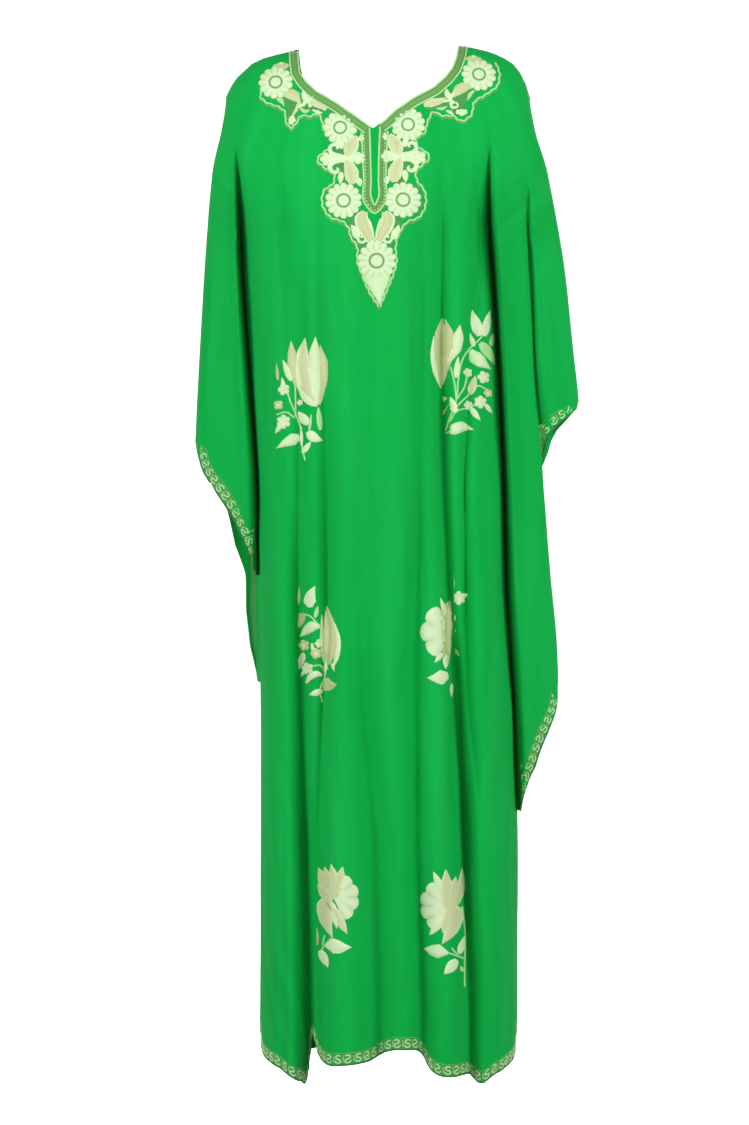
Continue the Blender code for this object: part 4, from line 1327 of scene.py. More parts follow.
@dataclass
class HemChart(Chart):
    """Lays patterns along the body's hem and up from it."""

    cloth: Cloth
    rows: int = 26

    def __post_init__(self) -> None:
        """Measures the hem and the cloth above it."""
        first = 2 * self.cloth.wing_columns_each
        window = slice(first, first + len(self.cloth.body_columns))
        self.points, self.normals = (
            grid[-self.rows :, window][::-1] for grid in (self.cloth.outer, self.cloth.normals)
        )
        self.along = distances(self.points[0]) / CM
        rise = np.linalg.norm(np.diff(self.points, axis=0), axis=2)
        self.up = np.concatenate([np.zeros((1, rise.shape[1])), np.cumsum(rise, axis=0)]) / CM
        self.length = float(self.along[-1])

    def lay(self, along: float, up: float) -> tuple[Array, Array]:
        """Lays one point.

        Args:
            along: how far along the hem it is.
            up: how far above the hem it is.

        Returns:
            Its place on the cloth and the way the cloth faces there.
        """
        column = float(np.interp(along, self.along, np.arange(len(self.along))))
        low = min(int(column), len(self.along) - 2)
        part = column - low
        found = []
        for source in (self.points, self.normals):
            ends = []
            for at in (low, low + 1):
                row = float(np.interp(max(up, 0.0), self.up[:, at], np.arange(self.rows)))
                below = min(int(row), self.rows - 2)
                ends.append(source[below, at] * (1 - row + below) + source[below + 1, at] * (row - below))
            found.append(ends[0] * (1 - part) + ends[1] * part)
        return found[0], unit(found[1])


@dataclass
class WingHemChart(Chart):
    """Lays patterns along a wing's slanting hem and in from it, squeezed where the seam leaves less room."""

    cloth: Cloth
    which: int
    margin: float = 0.5
    needed: float = 2.0
    shortest_step: float = 1 * MM
    line_step: float = 4 * MM
    smoothings: int = 4

    def __post_init__(self) -> None:
        """Collects the wing's hem from the arm fold down to the side seam, and the room beside it."""
        cloth, each = self.cloth, self.cloth.wing_columns_each
        start, lobe, last = cloth.wing_drops(self.which)
        end = cloth.outer.shape[1] - 1
        outermost, inner, at_seam = (0, each, 2 * each) if self.which == 0 else (end, end - each, end - 2 * each)
        edge = []
        for row in cloth.outer:
            drop = -row[inner, 2] / CM
            if start <= drop <= last:
                edge.append(row[outermost if drop < lobe else inner])
        edge = np.array(edge)
        edge = edge[np.append(True, np.linalg.norm(np.diff(edge, axis=0), axis=1) > self.shortest_step)]
        stops = distances(edge)
        self.length = float(stops[-1] / CM)
        fine = np.linspace(0.0, stops[-1], max(8, int(stops[-1] / self.line_step)))
        line = np.stack([np.interp(fine, stops, edge[:, axis]) for axis in range(3)], axis=1)
        for _ in range(self.smoothings):
            line[1:-1] = (line[:-2] + 2 * line[1:-1] + line[2:]) / 4
        self.stops, self.line = fine / CM, line
        inward = unit(np.cross(unit(np.gradient(line, axis=0)), (0.0, float(cloth.side.value), 0.0)))
        guide = np.array([-1.0 if self.which == 1 else 1.0, 0.0, 0.6])
        self.inward = inward * np.sign((inward * guide).sum(axis=1, keepdims=True))
        seam = cloth.outer[:, at_seam]
        beside = np.interp(-line[:, 2], -seam[:, 2], seam[:, 0])
        room = (np.abs(line[:, 0] - beside) / CM - self.margin).clip(0.0) / np.abs(self.inward[:, 0]).clip(0.3)
        self.share = np.minimum(room / self.needed, 1.0)

    def lay(self, along: float, across: float) -> tuple[tuple, tuple]:
        """Lays one point.

        Args:
            along: how far along the hem it is.
            across: how far in from the hem it is.

        Returns:
            Its place on the cloth and the way the cloth faces there.
        """
        edge, inward = (
            np.array([np.interp(along, self.stops, source[:, axis]) for axis in range(3)])
            for source in (self.line, self.inward)
        )
        across *= float(np.interp(along, self.stops, self.share))
        place, normal, _, _ = self.cloth.tree.find_nearest(Vector(edge + inward * max(across, 0.0) * CM))
        return tuple(place), tuple(normal if normal.y * self.cloth.side.value > 0 else -normal)


class Needle:
    """Embroiders shapes on a chart, as low padded patches and cords of thread.

    Places and widths are in centimetres of the chart, relief and lift in millimetres.
    The profile gives, from side to side of a stroke, the share of its half width and of its height.
    The flower gives, from its heart outwards, the share of its radius and of its height, and which
    of its three yarns it has: the heart's, the ring's or the petals'.
    """

    profile = ((-1.0, -0.12), (-0.66, 0.72), (0.0, 1.0), (0.66, 0.72), (1.0, -0.12))
    flower = (
        (0.02, 0.7, 0), (0.14, 0.68, 0), (0.26, 0.5, 0), (0.33, 0.62, 1), (0.38, 0.62, 1), (0.44, 0.3, 2),
        (0.52, 0.75, 2), (0.68, 1.0, 2), (0.84, 0.85, 2), (0.94, 0.5, 2), (1.0, -0.12, 2),
    )
    sunk = 0.35 * MM
    thinnest, low_relief, relief_rise = 0.012, 0.35, 10.0
    rim_share = 0.3
    stitch_share = 0.45
    petal_points, petal_start, petal_powers, petal_least = 7, 0.07, (0.8, 0.85), 0.03
    lobe_power, notch_from, notch_over = 0.7, 0.55, 0.4
    groove_from, groove_over, groove_depth, groove_shade = 0.45, 0.2, 0.35, 0.22

    def __init__(self, pile: MeshPile, chart: Chart) -> None:
        """Starts on a chart; everything made is added to pile."""
        self.pile, self.chart = pile, chart

    def close_up(self, rings: Array, uv: Array, colour: Array) -> None:
        """Adds rings as a tube whose ends come together.

        Args:
            rings: the rings' points.
            uv: their places on the stitch map.
            colour: their colours.
        """
        ends = [np.broadcast_to(ring.mean(axis=0), ring.shape) for ring in (rings[0], rings[-1])]
        rings = np.concatenate([ends[0][None], rings, ends[1][None]])
        uv, colour = (np.concatenate([grid[:1], grid, grid[-1:]]) for grid in (uv, colour))
        self.pile.add_grid(rings, uv, colour, wrap=True)

    def stroke(
        self,
        spine: list | Array,
        half_widths: list[float] | Array | float,
        yarn: Yarn,
        rim: Yarn | None = None,
        height: float = 0.55,
        step: float = 0.16,
        lift: float = 0.0,
    ) -> None:
        """Embroiders along a spine.

        Args:
            spine: the points it runs through.
            half_widths: half the width at each of them.
            yarn: the colour along the middle.
            rim: the colour along the sides, the same where none is given.
            height: its relief.
            step: from one section to the next.
            lift: how much higher than the cloth it lies.
        """
        spine = np.asarray(spine, float)
        stops = distances(spine)
        path = curved(spine, step)
        wide = np.broadcast_to(np.asarray(half_widths, float), (len(spine),))
        half = np.maximum(np.interp(np.linspace(0.0, stops[-1], len(path)), stops, wide), self.thinnest)
        way = unit(np.gradient(path, axis=0))
        beside = np.stack([-way[:, 1], way[:, 0]], axis=1)
        offsets, lifts = np.array(self.profile).T
        flat = path[:, None] + beside[:, None] * (half[:, None] * offsets)[..., None]
        points, normals = self.chart.place(flat)
        relief = np.minimum(height, self.low_relief + half * self.relief_rise * 0.5) * MM
        raised = points + normals * (lifts[None, :] * relief[:, None] + lift * MM)[..., None]
        bottom = points[:, 2:3] - normals[:, 2:3] * self.sunk
        rings = np.concatenate([raised, bottom], axis=1)
        run = np.broadcast_to(distances(points[:, 2])[:, None], rings.shape[:2])
        uv = np.stack([run, half[:, None] * np.append(offsets, 0.0)[None, :] * CM], axis=2)
        middle, side = yarn.colour, (rim or yarn).colour
        between = middle * (1 - self.rim_share) + side * self.rim_share
        tones = np.array([side, between, middle, between, side, side])
        self.close_up(rings, uv, np.broadcast_to(tones, rings.shape))

    def broad(
        self,
        places: tuple | list,
        yarn: Yarn,
        rim: Yarn | None = None,
        height: float = 0.75,
        step: float = 0.16,
        lift: float = 0.0,
    ) -> None:
        """A stroke through places, each given across, down and with half its width there."""
        self.stroke([place[:2] for place in places], [place[2] for place in places], yarn, rim, height, step, lift)

    def petal(
        self,
        base: tuple,
        tip: tuple,
        wide: float,
        yarn: Yarn,
        bend: float = 0.0,
        rim: Yarn | None = None,
        height: float = 0.7,
        lift: float = 0.0,
    ) -> None:
        """Embroiders a pointed petal or leaf.

        Args:
            base: where it starts.
            tip: where it ends.
            wide: half its greatest width.
            yarn: the colour along the middle.
            bend: how far it bends sideways, as a share of its length.
            rim: the colour along the sides, the same where none is given.
            height: its relief.
            lift: how much higher than the cloth it lies.
        """
        base, tip = np.asarray(base, float), np.asarray(tip, float)
        step = tip - base
        beside = np.array([-step[1], step[0]]) * bend
        share = np.linspace(0.0, 1.0, self.petal_points)
        spine = base + step * share[:, None] + beside * np.sin(np.pi * share)[:, None]
        along = np.clip(share * (1.0 - self.petal_start) + self.petal_start, 0, 1)
        shape = np.sin(np.pi * along ** self.petal_powers[0]) ** self.petal_powers[1]
        self.stroke(spine, wide * np.maximum(shape, self.petal_least), yarn, rim, height, lift=lift)

    def line(self, points: list | Array, yarn: Yarn, wide: float = 0.1, height: float = 0.6) -> None:
        """A cord of chain stitch through points, of half this width."""
        self.stroke(points, wide, yarn, height=height, step=0.2)

    def dots(self, points: list | Array, yarn: Yarn, spacing: float, size: float, lift: float = 0.3) -> None:
        """Embroiders a row of short stitches.

        Args:
            points: the path they follow.
            yarn: their colour.
            spacing: from one to the next.
            size: half their width.
            lift: how much higher than the cloth they lie.
        """
        path = curved(points, spacing)
        for start, end in zip(path[:-1], path[1:]):
            stitch = [start, start + (end - start) * self.stitch_share]
            self.stroke(stitch, size, yarn, height=0.35, step=0.1, lift=lift)

    def rosette(
        self,
        centre: Pair,
        radius: float,
        lobes: int,
        yarn: Yarn = CREAM,
        eye: bool = True,
        span: Pair = (0.0, 360.0),
        notch: float = 0.14,
        height: float = 0.75,
        lift: float = 0.0,
    ) -> None:
        """Embroiders a flower with rounded petals round a ringed centre, or a part of one.

        Args:
            centre: its middle.
            radius: to the petals' tips.
            lobes: how many petals it has.
            yarn: the petals' colour.
            eye: whether it has the ringed centre.
            span: the angles it covers, in degrees, from straight right and on downwards.
            notch: how deep the petals part, as a share of the radius.
            height: its relief.
            lift: how much higher than the cloth it lies.
        """
        whole = span[1] - span[0] > 359.0
        turn = np.radians(np.linspace(*span, 8 * lobes + 1))
        if whole:
            turn = turn[:-1]
        phase = (turn - turn[0]) / math.radians(span[1] - span[0]) * lobes
        gap = 1.0 - np.abs(np.sin(np.pi * phase)) ** self.lobe_power
        shares, lifts, kinds = np.array(self.flower).T
        inward = 1.0 - notch * gap[None, :] * smooth((shares - self.notch_from) / self.notch_over)[:, None]
        reach = radius * shares[:, None] * inward
        flat = np.asarray(centre) + np.stack([reach * np.cos(turn), reach * np.sin(turn)], axis=2)
        points, normals = self.chart.place(flat)
        groove = gap[None, :] * smooth((shares - self.groove_from) / self.groove_over)[:, None]
        relief = lifts[:, None] * height - groove * self.groove_depth * (lifts[:, None] > 0) + lift
        if not whole:
            relief[:, [0, -1]] = -0.1
        raised = points + normals * (relief * MM)[..., None]
        bottom = np.broadcast_to((points[0] - normals[0] * self.sunk).mean(axis=0), raised[:1].shape)
        rings = np.concatenate([bottom, raised, bottom])
        yarns = [tone.colour for tone in (CREAM, OLIVE if eye else yarn, yarn)]
        tones = np.array([yarns[int(kind)] for kind in kinds])[:, None]
        # painted shade: the petals' colour darkens along the grooves between them
        colours = tones * (1.0 - self.groove_shade * groove[..., None])
        colours = np.concatenate([colours[:1], colours, colours[-1:]])
        around = np.broadcast_to(turn * radius * 0.7 * CM, rings.shape[:2])
        outward = np.concatenate([[0.0], shares, [1.0]])[:, None] * radius * CM
        uv = np.stack(np.broadcast_arrays(around, outward), axis=2)
        self.pile.add_grid(rings, uv, colours, wrap=whole)


@dataclass
class Bands:
    """The bound neckline and the bands down both sides of the slit."""

    lift: float = 0.3
    gap: Pair = (-0.95, 0.05)
    profile: tuple = (
        (0, -0.1, OLIVE), (0.035, 0.75, MINT), (0.09, 1, MINT), (0.15, 0.72, MINT),
        (0.21, 0.42, MOSS), (0.34, 0.5, OLIVE), (0.46, 0.62, OLIVE), (0.54, 0.62, OLIVE),
        (0.66, 0.5, OLIVE), (0.79, 0.42, MOSS), (0.85, 0.72, MINT), (0.91, 1, MINT),
        (0.965, 0.75, MINT), (1, -0.1, OLIVE),
    )

    slit_inner: tuple = (
        (-1.12, 12.5), (-0.98, 16.5), (-0.90, 20), (-0.85, 22.6), (-0.48, 23.5), (-0.05, 22.6), (-0.02, 20),
        (0.05, 16.5), (0.2, 12.4),
    )
    slit_outer: tuple = (
        (-2.35, 13.4), (-2.15, 17.2), (-2, 20), (-1.95, 23.2), (-0.48, 24.8), (1.05, 23.2), (1.1, 20),
        (1.2, 17.2), (1.4, 13.2),
    )
    slit_widths: tuple = (0.5, 0.5, 0.5, 0.5, 0.6, 0.5, 0.5, 0.5, 0.5)

    def neck(self, cloth: Cloth, name: str) -> bpy.types.Object:
        """Makes the band along one cloth's neckline, open in front where the slit's bands meet it.

        Args:
            cloth: the cloth.
            name: the piece's name.

        Returns:
            The piece.
        """
        pile = MeshPile(name)
        columns = cloth.all_columns(SHOULDER_SPAN)
        inside = np.flatnonzero((columns >= NECK_LEFT - 1e-6) & (columns <= NECK_RIGHT + 1e-6))
        parts = [inside]
        if cloth.side is Side.FRONT:
            places = cloth.outer[0, inside, 0] / CM
            parts = [inside[places < self.gap[0]], inside[places > self.gap[1]]]
        for part in parts:
            self.neck_part(pile, cloth, part)
        piece = pile.build()
        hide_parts(f"neck_band_{cloth.side.name.lower()}")
        return piece

    def neck_part(self, pile: MeshPile, cloth: Cloth, inside: Array) -> None:
        """Adds the band along some of the neckline's columns.

        Args:
            pile: what it is added to.
            cloth: the cloth.
            inside: the columns' numbers.
        """
        rows = cloth.neck_rows
        shares, lifts, yarns = zip(*self.profile)
        shares, middle = np.array(shares), len(shares) // 2
        low = np.minimum((shares * rows).astype(int), rows - 1)
        part = (shares * rows - low)[:, None, None]
        base, facing = (
            grid[low][:, inside] * (1 - part) + grid[low + 1][:, inside] * part for grid in (cloth.outer, cloth.normals)
        )
        facing = unit(facing)
        raised = base + facing * ((np.array(lifts) + self.lift) * MM)[:, None, None]
        bottom = base[middle][None] - facing[middle][None] * 0.2 * MM
        rings = np.concatenate([raised, bottom]).transpose(1, 0, 2)
        run, across = distances(cloth.outer[0, inside]), np.append(shares, 0.5) * cloth.band_width
        uv = np.stack(np.broadcast_arrays(run[:, None], across[None, :]), axis=2)
        tones = np.array([yarn.colour for yarn in (*yarns, OLIVE)])
        Needle(pile, FrontChart(cloth)).close_up(rings, uv, np.broadcast_to(tones, rings.shape))

    def slit(self, cloth: Cloth) -> bpy.types.Object:
        """Makes the bands beside the slit, which meet in a point below it.

        Args:
            cloth: the front cloth.

        Returns:
            The piece.
        """
        pile = MeshPile("slit_bands")
        needle = Needle(pile, FrontChart(cloth))
        inner, outer = np.array(self.slit_inner), np.array(self.slit_outer)
        needle.stroke((inner + outer) / 2, list(self.slit_widths), OLIVE, MOSS, height=0.35)
        for share in (0.06, 0.94):
            needle.line(inner * (1 - share) + outer * share, MINT, 0.13, 0.9)
        needle.dots(inner * 0.5 + outer * 0.5, MOSS, 0.55, 0.07, lift=0.4)
        needle.dots(inner * 0.3 + outer * 0.7, MINT, 0.5, 0.08, lift=0.3)
        piece = pile.build()
        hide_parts("slit_band")
        return piece


@dataclass
class Yoke:
    """The embroidery round the neckline and the slit: flowers, buds, curls and the line round them."""

    axis: float = -0.68
    ripple: float = 1.1
    daisies: tuple = (
        (-14.1, 6, 2.4, 13), (13.9, 4.9, 2.4, 13), (-5.2, 12.6, 2.35, 13), (4.1, 12.2, 2.35, 13),
        (-4.7, 22.9, 2.5, 14), (3.4, 22.8, 2.5, 14), (-0.2, 31.2, 2.65, 14),
    )
    left_chain: tuple = (
        (GROUND, None, (-12.9, 8.4, 1), (-11.6, 8.9, 1.3), (-10, 9.1, 1.35), (-7.2, 9.9, 0.6)),
        (GROUND, None, (-11.5, 9.6, 0.7), (-11.8, 10.8, 0.7), (-11.95, 12, 0.6)),
        (CREAM, MINT, (-9.2, 9.7, 0.4), (-9.6, 8.9, 0.85), (-10.1, 8, 0.6), (-10.3, 7.3, 0.05)),
        (CREAM, MINT, (-10.9, 9.6, 0.3), (-10.2, 9.2, 0.6), (-9.3, 8.7, 0.5), (-8.8, 8, 0.05)),
        (BEIGE, SAND, (-12.9, 7.6, 0.5), (-12.2, 7.9, 0.95), (-11.4, 8.4, 0.95), (-10.7, 9.2, 0.35)),
        (BEIGE, CREAM, (-9.4, 9.1, 0.4), (-8.6, 9.2, 0.75), (-7.9, 9.5, 0.72), (-7.1, 10.1, 0.3)),
        (BEIGE, CREAM, (-10.9, 9.3, 0.35), (-11.3, 10.1, 0.26), (-11.75, 10.9, 0.2)),
        (CREAM, MINT, (-11.7, 10.9, 0.35), (-11.85, 11.45, 0.62), (-12, 12.1, 0.3)),
        (SAND, None, (-11.8, 11.3, 0.2), (-11.9, 11.7, 0.2)),
        (MINT, None, (-13.9, 8.4, 0.2), (-13.3, 8.7, 0.35), (-12.9, 9.5, 0.05)),
        (MINT, None, (-10.7, 9.8, 0.15), (-10, 10.3, 0.3), (-9.3, 10.1, 0.05)),
        (CREAM, None, (-9, 10.1, 0.1), (-8.3, 10.4, 0.26), (-7.6, 10.6, 0.05)),
    )
    right_chain: tuple = (
        (GROUND, None, (12.8, 7.2, 0.9), (11.4, 8, 1.3), (9.6, 8.6, 1.3), (6.4, 9.6, 0.6)),
        (GROUND, None, (10.6, 9, 0.7), (11, 9.8, 0.9), (11.6, 10.4, 0.8)),
        (CREAM, MINT, (10.4, 9.2, 0.35), (9.9, 8.5, 0.75), (9.5, 7.8, 0.55), (9.4, 7.1, 0.05)),
        (CREAM, MINT, (9, 8.9, 0.3), (9.8, 8.6, 0.55), (10.3, 8, 0.45), (10.5, 7.2, 0.05)),
        (BEIGE, SAND, (12.7, 6.5, 0.45), (12, 6.9, 0.9), (11.2, 7.4, 0.95), (10.3, 8.2, 0.4)),
        (BEIGE, CREAM, (6.3, 9.5, 0.35), (7.2, 9.25, 0.75), (8.2, 8.95, 0.68), (9.3, 8.6, 0.35)),
        (CREAM, None, (9.9, 9, 0.22), (10.2, 9.7, 0.22), (10.9, 9.6, 0.2), (10.8, 9.1, 0.18), (10.5, 9.1, 0.12)),
        (CREAM, MINT, (10.7, 10.3, 0.3), (11.4, 10.35, 0.58), (12.2, 10.3, 0.3)),
        (SAND, None, (11.2, 10.35, 0.2), (11.7, 10.35, 0.2)),
        (MINT, None, (13.2, 7.3, 0.15), (12.6, 7.9, 0.34), (12.3, 8.7, 0.05)),
        (MINT, None, (8, 9.9, 0.1), (8.8, 9.9, 0.26), (9.5, 9.6, 0.05)),
        (CREAM, None, (9.3, 10.2, 0.1), (9.9, 10.4, 0.26), (10.4, 10.8, 0.05)),
    )
    left_line: tuple = (
        (-16, 6.8), (-16.2, 8), (-14.9, 9.1), (-14, 9.4), (-12.8, 10.3), (-12.7, 11.5), (-11.9, 12.6),
        (-11.1, 11.7), (-10.6, 10.9), (-9.4, 11), (-8.2, 10.7), (-7.7, 11.7), (-7.3, 13.1), (-6, 14.1),
        (-6.4, 15.3), (-7.7, 16.3), (-8.3, 17.1), (-7.3, 18.3), (-6, 19.2), (-6.1, 20.5), (-7.3, 21.4),
        (-7.6, 23.4), (-6.5, 25.2), (-4.7, 25.9), (-4, 26.7), (-3.8, 27.8), (-2.9, 29.2), (-2.8, 31.4),
        (-2.2, 33), (-1.2, 35.4), (0.1, 37.4),
    )
    right_line: tuple = (
        (16.3, 2.9), (16.8, 4.6), (16.4, 6.5), (15.1, 7.6), (13.2, 9), (12.8, 10.7), (11.5, 11.6), (10.2, 10.9),
        (8.8, 10.9), (7.6, 10.4), (6.8, 11.8), (6.3, 13.4), (5.2, 14.1), (5.5, 15.4), (6.6, 16.1), (7, 16.8),
        (6, 17.9), (5.2, 18.7), (5.3, 20), (6.3, 21.4), (6.5, 23.3), (5.6, 25.1), (3.8, 26), (3.1, 27),
        (2.7, 27.8), (2.4, 29.4), (2.5, 31.4), (2, 33.2), (1.1, 35.4), (0.2, 37.4),
    )

    sprigs: tuple = ((-13.4, 2.9), (13.2, 1.9))
    beds: tuple = (
        (0.12, (2.9, 13.9, 1.2), (2.9, 16, 1.9), (2.9, 18, 1.9), (2.9, 20.6, 1.3)),
        (0.1, (3.6, 17, 1.9), (5, 16.9, 1.9), (6.2, 17, 1.2), (7, 17, 0.5)),
    )
    buds: tuple = (
        (BEIGE, (2.2, 13.9, 0.35), (2.65, 14.6, 0.9), (3, 15.3, 1.1), (3.35, 16.1, 0.95), (3.6, 16.7, 0.5)),
        (BEIGE, (3.7, 17.2, 0.45), (3.35, 18.1, 0.9), (3, 19.1, 1.15), (2.9, 20, 0.95), (2.95, 20.6, 0.4)),
        (CREAM, (2, 16.4, 0.4), (3, 16.95, 0.75), (4.2, 17, 0.75), (5.2, 16.9, 0.45), (5.9, 17, 0.5)),
    )
    curls: tuple = (
        ((4.4, 16.6, 0.3), (5.3, 16.4, 0.3), (5.9, 15.9, 0.28), (5.75, 15.2, 0.26), (5.2, 15, 0.24),
         (4.85, 15.3, 0.2), (5, 15.65, 0.14)),
        ((4.4, 17.3, 0.3), (5.4, 17.5, 0.34), (5.9, 18.1, 0.32), (5.7, 18.75, 0.3), (5.1, 18.95, 0.26),
         (4.75, 18.6, 0.2), (4.95, 18.3, 0.14)),
    )
    blossoms: tuple = (((1.95, 16.95), 0.9, 5, CREAM), ((6.3, 17.05), 0.95, 5, CREAM), ((3.3, 15.1), 0.3, 4, SAND))
    leaves: tuple = (
        ((4.3, 18.9), (4.5, 20.6)), ((4.3, 15.6), (4.5, 14)), ((2, 19.8), (1.7, 21)),
        ((1.7, 14.6), (1.5, 13.6)),
    )
    veins: tuple = (((2.9, 14.5), (3.4, 16.2)), ((3.3, 17.9), (2.95, 20.1)))
    foot_axis: float = -0.45
    paisley_bed: tuple = ((1.9, 24.2, 0.9), (2.2, 26, 1.5), (1.6, 28, 1.6), (0.9, 29.6, 1))
    paisley: tuple = (
        (1.35, 24.5, 0.45), (1.75, 25.4, 1.12), (1.45, 26.5, 1.18), (0.95, 27.5, 0.95), (0.55, 28.5, 0.6),
        (0.35, 29.2, 0.12),
    )
    filling_share: float = 0.66
    vein_shift: float = 0.42
    pod: Pair = (2.75, 27.3)
    pod_ends: tuple = ((-0.4, 0.85), (0.5, -1.05))
    pod_curl: tuple = ((-0.3, 0.6), (-0.75, 1.35), (-1.35, 1.3), (-1.5, 0.75), (-1.15, 0.45), (-0.85, 0.75))
    foot_leaf: tuple = (
        (-0.2, 32.9, 2), (-0.1, 33.9, 1.75), (0, 35.1, 1.1), (0.12, 36.2, 0.5), (0.19, 37.1, 0.04),
    )

    def chain(self, needle: Needle, shapes: tuple) -> None:
        """Embroiders the buds and leaves between a shoulder flower and the next one, each higher than the last."""
        for index, (yarn, rim, *places) in enumerate(shapes):
            needle.broad(places, yarn, rim, lift=0.03 * index)

    def cluster(self, needle: Needle, way: float, shift: float) -> None:
        """Embroiders the buds, lobes and curls beside the slit.

        Args:
            needle: what embroiders them.
            way: -1 on the left, 1 on the right.
            shift: how much lower they sit.
        """

        def at(points: tuple) -> list:
            """The points, out from the slit and down, on this side."""
            return [(self.axis + way * out, drop + shift, *wide) for out, drop, *wide in points]

        for height, *places in self.beds:
            needle.broad(at(places), GROUND, None, height)
        for yarn, *places in self.buds:
            needle.broad(at(places), yarn, CREAM, 0.8)
        for places in self.curls:
            needle.broad(at(places), CREAM, None, 0.7, lift=0.1)
        for place, radius, lobes, yarn in self.blossoms:
            needle.rosette(at((place,))[0], radius, lobes, yarn, False, notch=0.2, lift=0.2)
        for leaf in self.leaves:
            needle.petal(*at(leaf), 0.42, CREAM, lift=0.1)
        for vein in self.veins:
            needle.dots(at(vein), SAND, 0.34, 0.05, lift=0.75)

    def paisleys(self, needle: Needle) -> None:
        """Embroiders the two paisleys under the slit, the side pods and the pointed leaf at the bottom.

        Args:
            needle: what embroiders them.
        """
        for way in (-1.0, 1.0):
            bed, body, (pod,) = (
                [(self.foot_axis + out * way, drop, *wide) for out, drop, *wide in points]
                for points in (self.paisley_bed, self.paisley, (self.pod,))
            )
            needle.broad(bed, GROUND, None, 0.12)
            needle.broad(body, CREAM, CREAM, 0.7)
            filling = [(x, drop, wide * self.filling_share) for x, drop, wide in body[:-1]]
            needle.broad(filling, BEIGE, BEIGE, 0.5, lift=0.5)
            for shift in (self.vein_shift * way, -self.vein_shift * way):
                needle.dots([(x + shift, drop) for x, drop, _ in filling], SAND, 0.38, 0.06, lift=0.85)
            base, tip, *curl = (np.array(pod) + (out * way, drop) for out, drop in self.pod_ends + self.pod_curl)
            needle.petal(base, tip, 0.62, CREAM, bend=0.08)
            needle.line(curl, CREAM, 0.2)
        needle.broad(self.foot_leaf, CREAM, MINT, 0.7)

    def build(self, cloth: Cloth) -> list[bpy.types.Object]:
        """Makes the yoke.

        Args:
            cloth: the front cloth.

        Returns:
            Its flowers and the lines round them, as two pieces.
        """
        patches, lines = MeshPile("yoke_flowers"), MeshPile("yoke_lines")
        needle = Needle(patches, FrontChart(cloth))
        self.chain(needle, self.left_chain)
        self.chain(needle, self.right_chain)
        self.cluster(needle, -1.0, 0.0)
        self.cluster(needle, 1.0, -0.25)
        self.paisleys(needle)
        for x, drop, radius, lobes in self.daisies:
            needle.rosette((x, drop), radius + 0.24, lobes, GROUND, eye=False, height=0.14)
            needle.rosette((x, drop), radius, lobes, lift=0.15)
        for place in self.sprigs:
            needle.rosette(place, 1.35, 6, BEIGE, eye=False, span=(20, 160))
        liner = Needle(lines, FrontChart(cloth))
        for path in (self.left_line, self.right_line):
            path = curved(path, 0.2)
            way = unit(np.gradient(path, axis=0))
            ripple = 0.08 * np.sin(np.arange(len(path)) * 0.2 * math.tau / self.ripple)
            path = path + np.stack([-way[:, 1], way[:, 0]], axis=1) * ripple[:, None]
            liner.line(path, MINT, 0.13, 0.8)
            liner.stroke(path + (0.0, 0.32), 0.09, OLIVE, height=0.4)
        return [patches.build(), lines.build()]


class Stitch(Enum):
    """The kinds of shape that a flower spray is made of."""

    PETAL = "petal"  # base, tip, half the width, yarn, bend
    BROAD = "broad"  # yarn, rim, points with half the width at each
    FLOWER = "flower"  # centre, radius, lobes, yarn
    FAN = "fan"  # centre, radius, lobes, yarn, first and last angle
    STEM = "stem"  # points


PETAL, BROAD, FLOWER, FAN, STEM = Stitch


@dataclass(frozen=True)
class Motif:
    """A flower spray, in centimetres across and down on the cloth."""

    shapes: tuple
    left_lip: tuple | None = None
    right_lip: tuple | None = None
    layer: float = 0.03
    flower_notch: float = 0.26
    fan_notch: float = 0.1

    def embroider(self, pile: MeshPile, cloth: Cloth) -> None:
        """Embroiders the spray, each shape a little higher than the one before.

        Args:
            pile: what it is added to.
            cloth: the front cloth.
        """
        needle = Needle(pile, FrontChart(cloth, self.left_lip, self.right_lip))
        for index, (kind, *what) in enumerate(self.shapes):
            lift = self.layer * index
            if kind is PETAL:
                base, tip, wide, yarn, *bend = what
                needle.petal(base, tip, wide, yarn, *(bend or [0.0]), CREAM if yarn is BEIGE else None, lift=lift)
            elif kind is BROAD:
                yarn, rim, *places = what
                needle.broad(places, yarn, rim, lift=lift)
            elif kind is STEM:
                needle.line(what, MINT, 0.12, 0.6)
            elif kind is FAN:
                needle.rosette(*what[:4], False, tuple(what[4:]), self.fan_notch, lift=lift)
            else:
                needle.rosette(*what, False, notch=self.flower_notch, lift=lift)


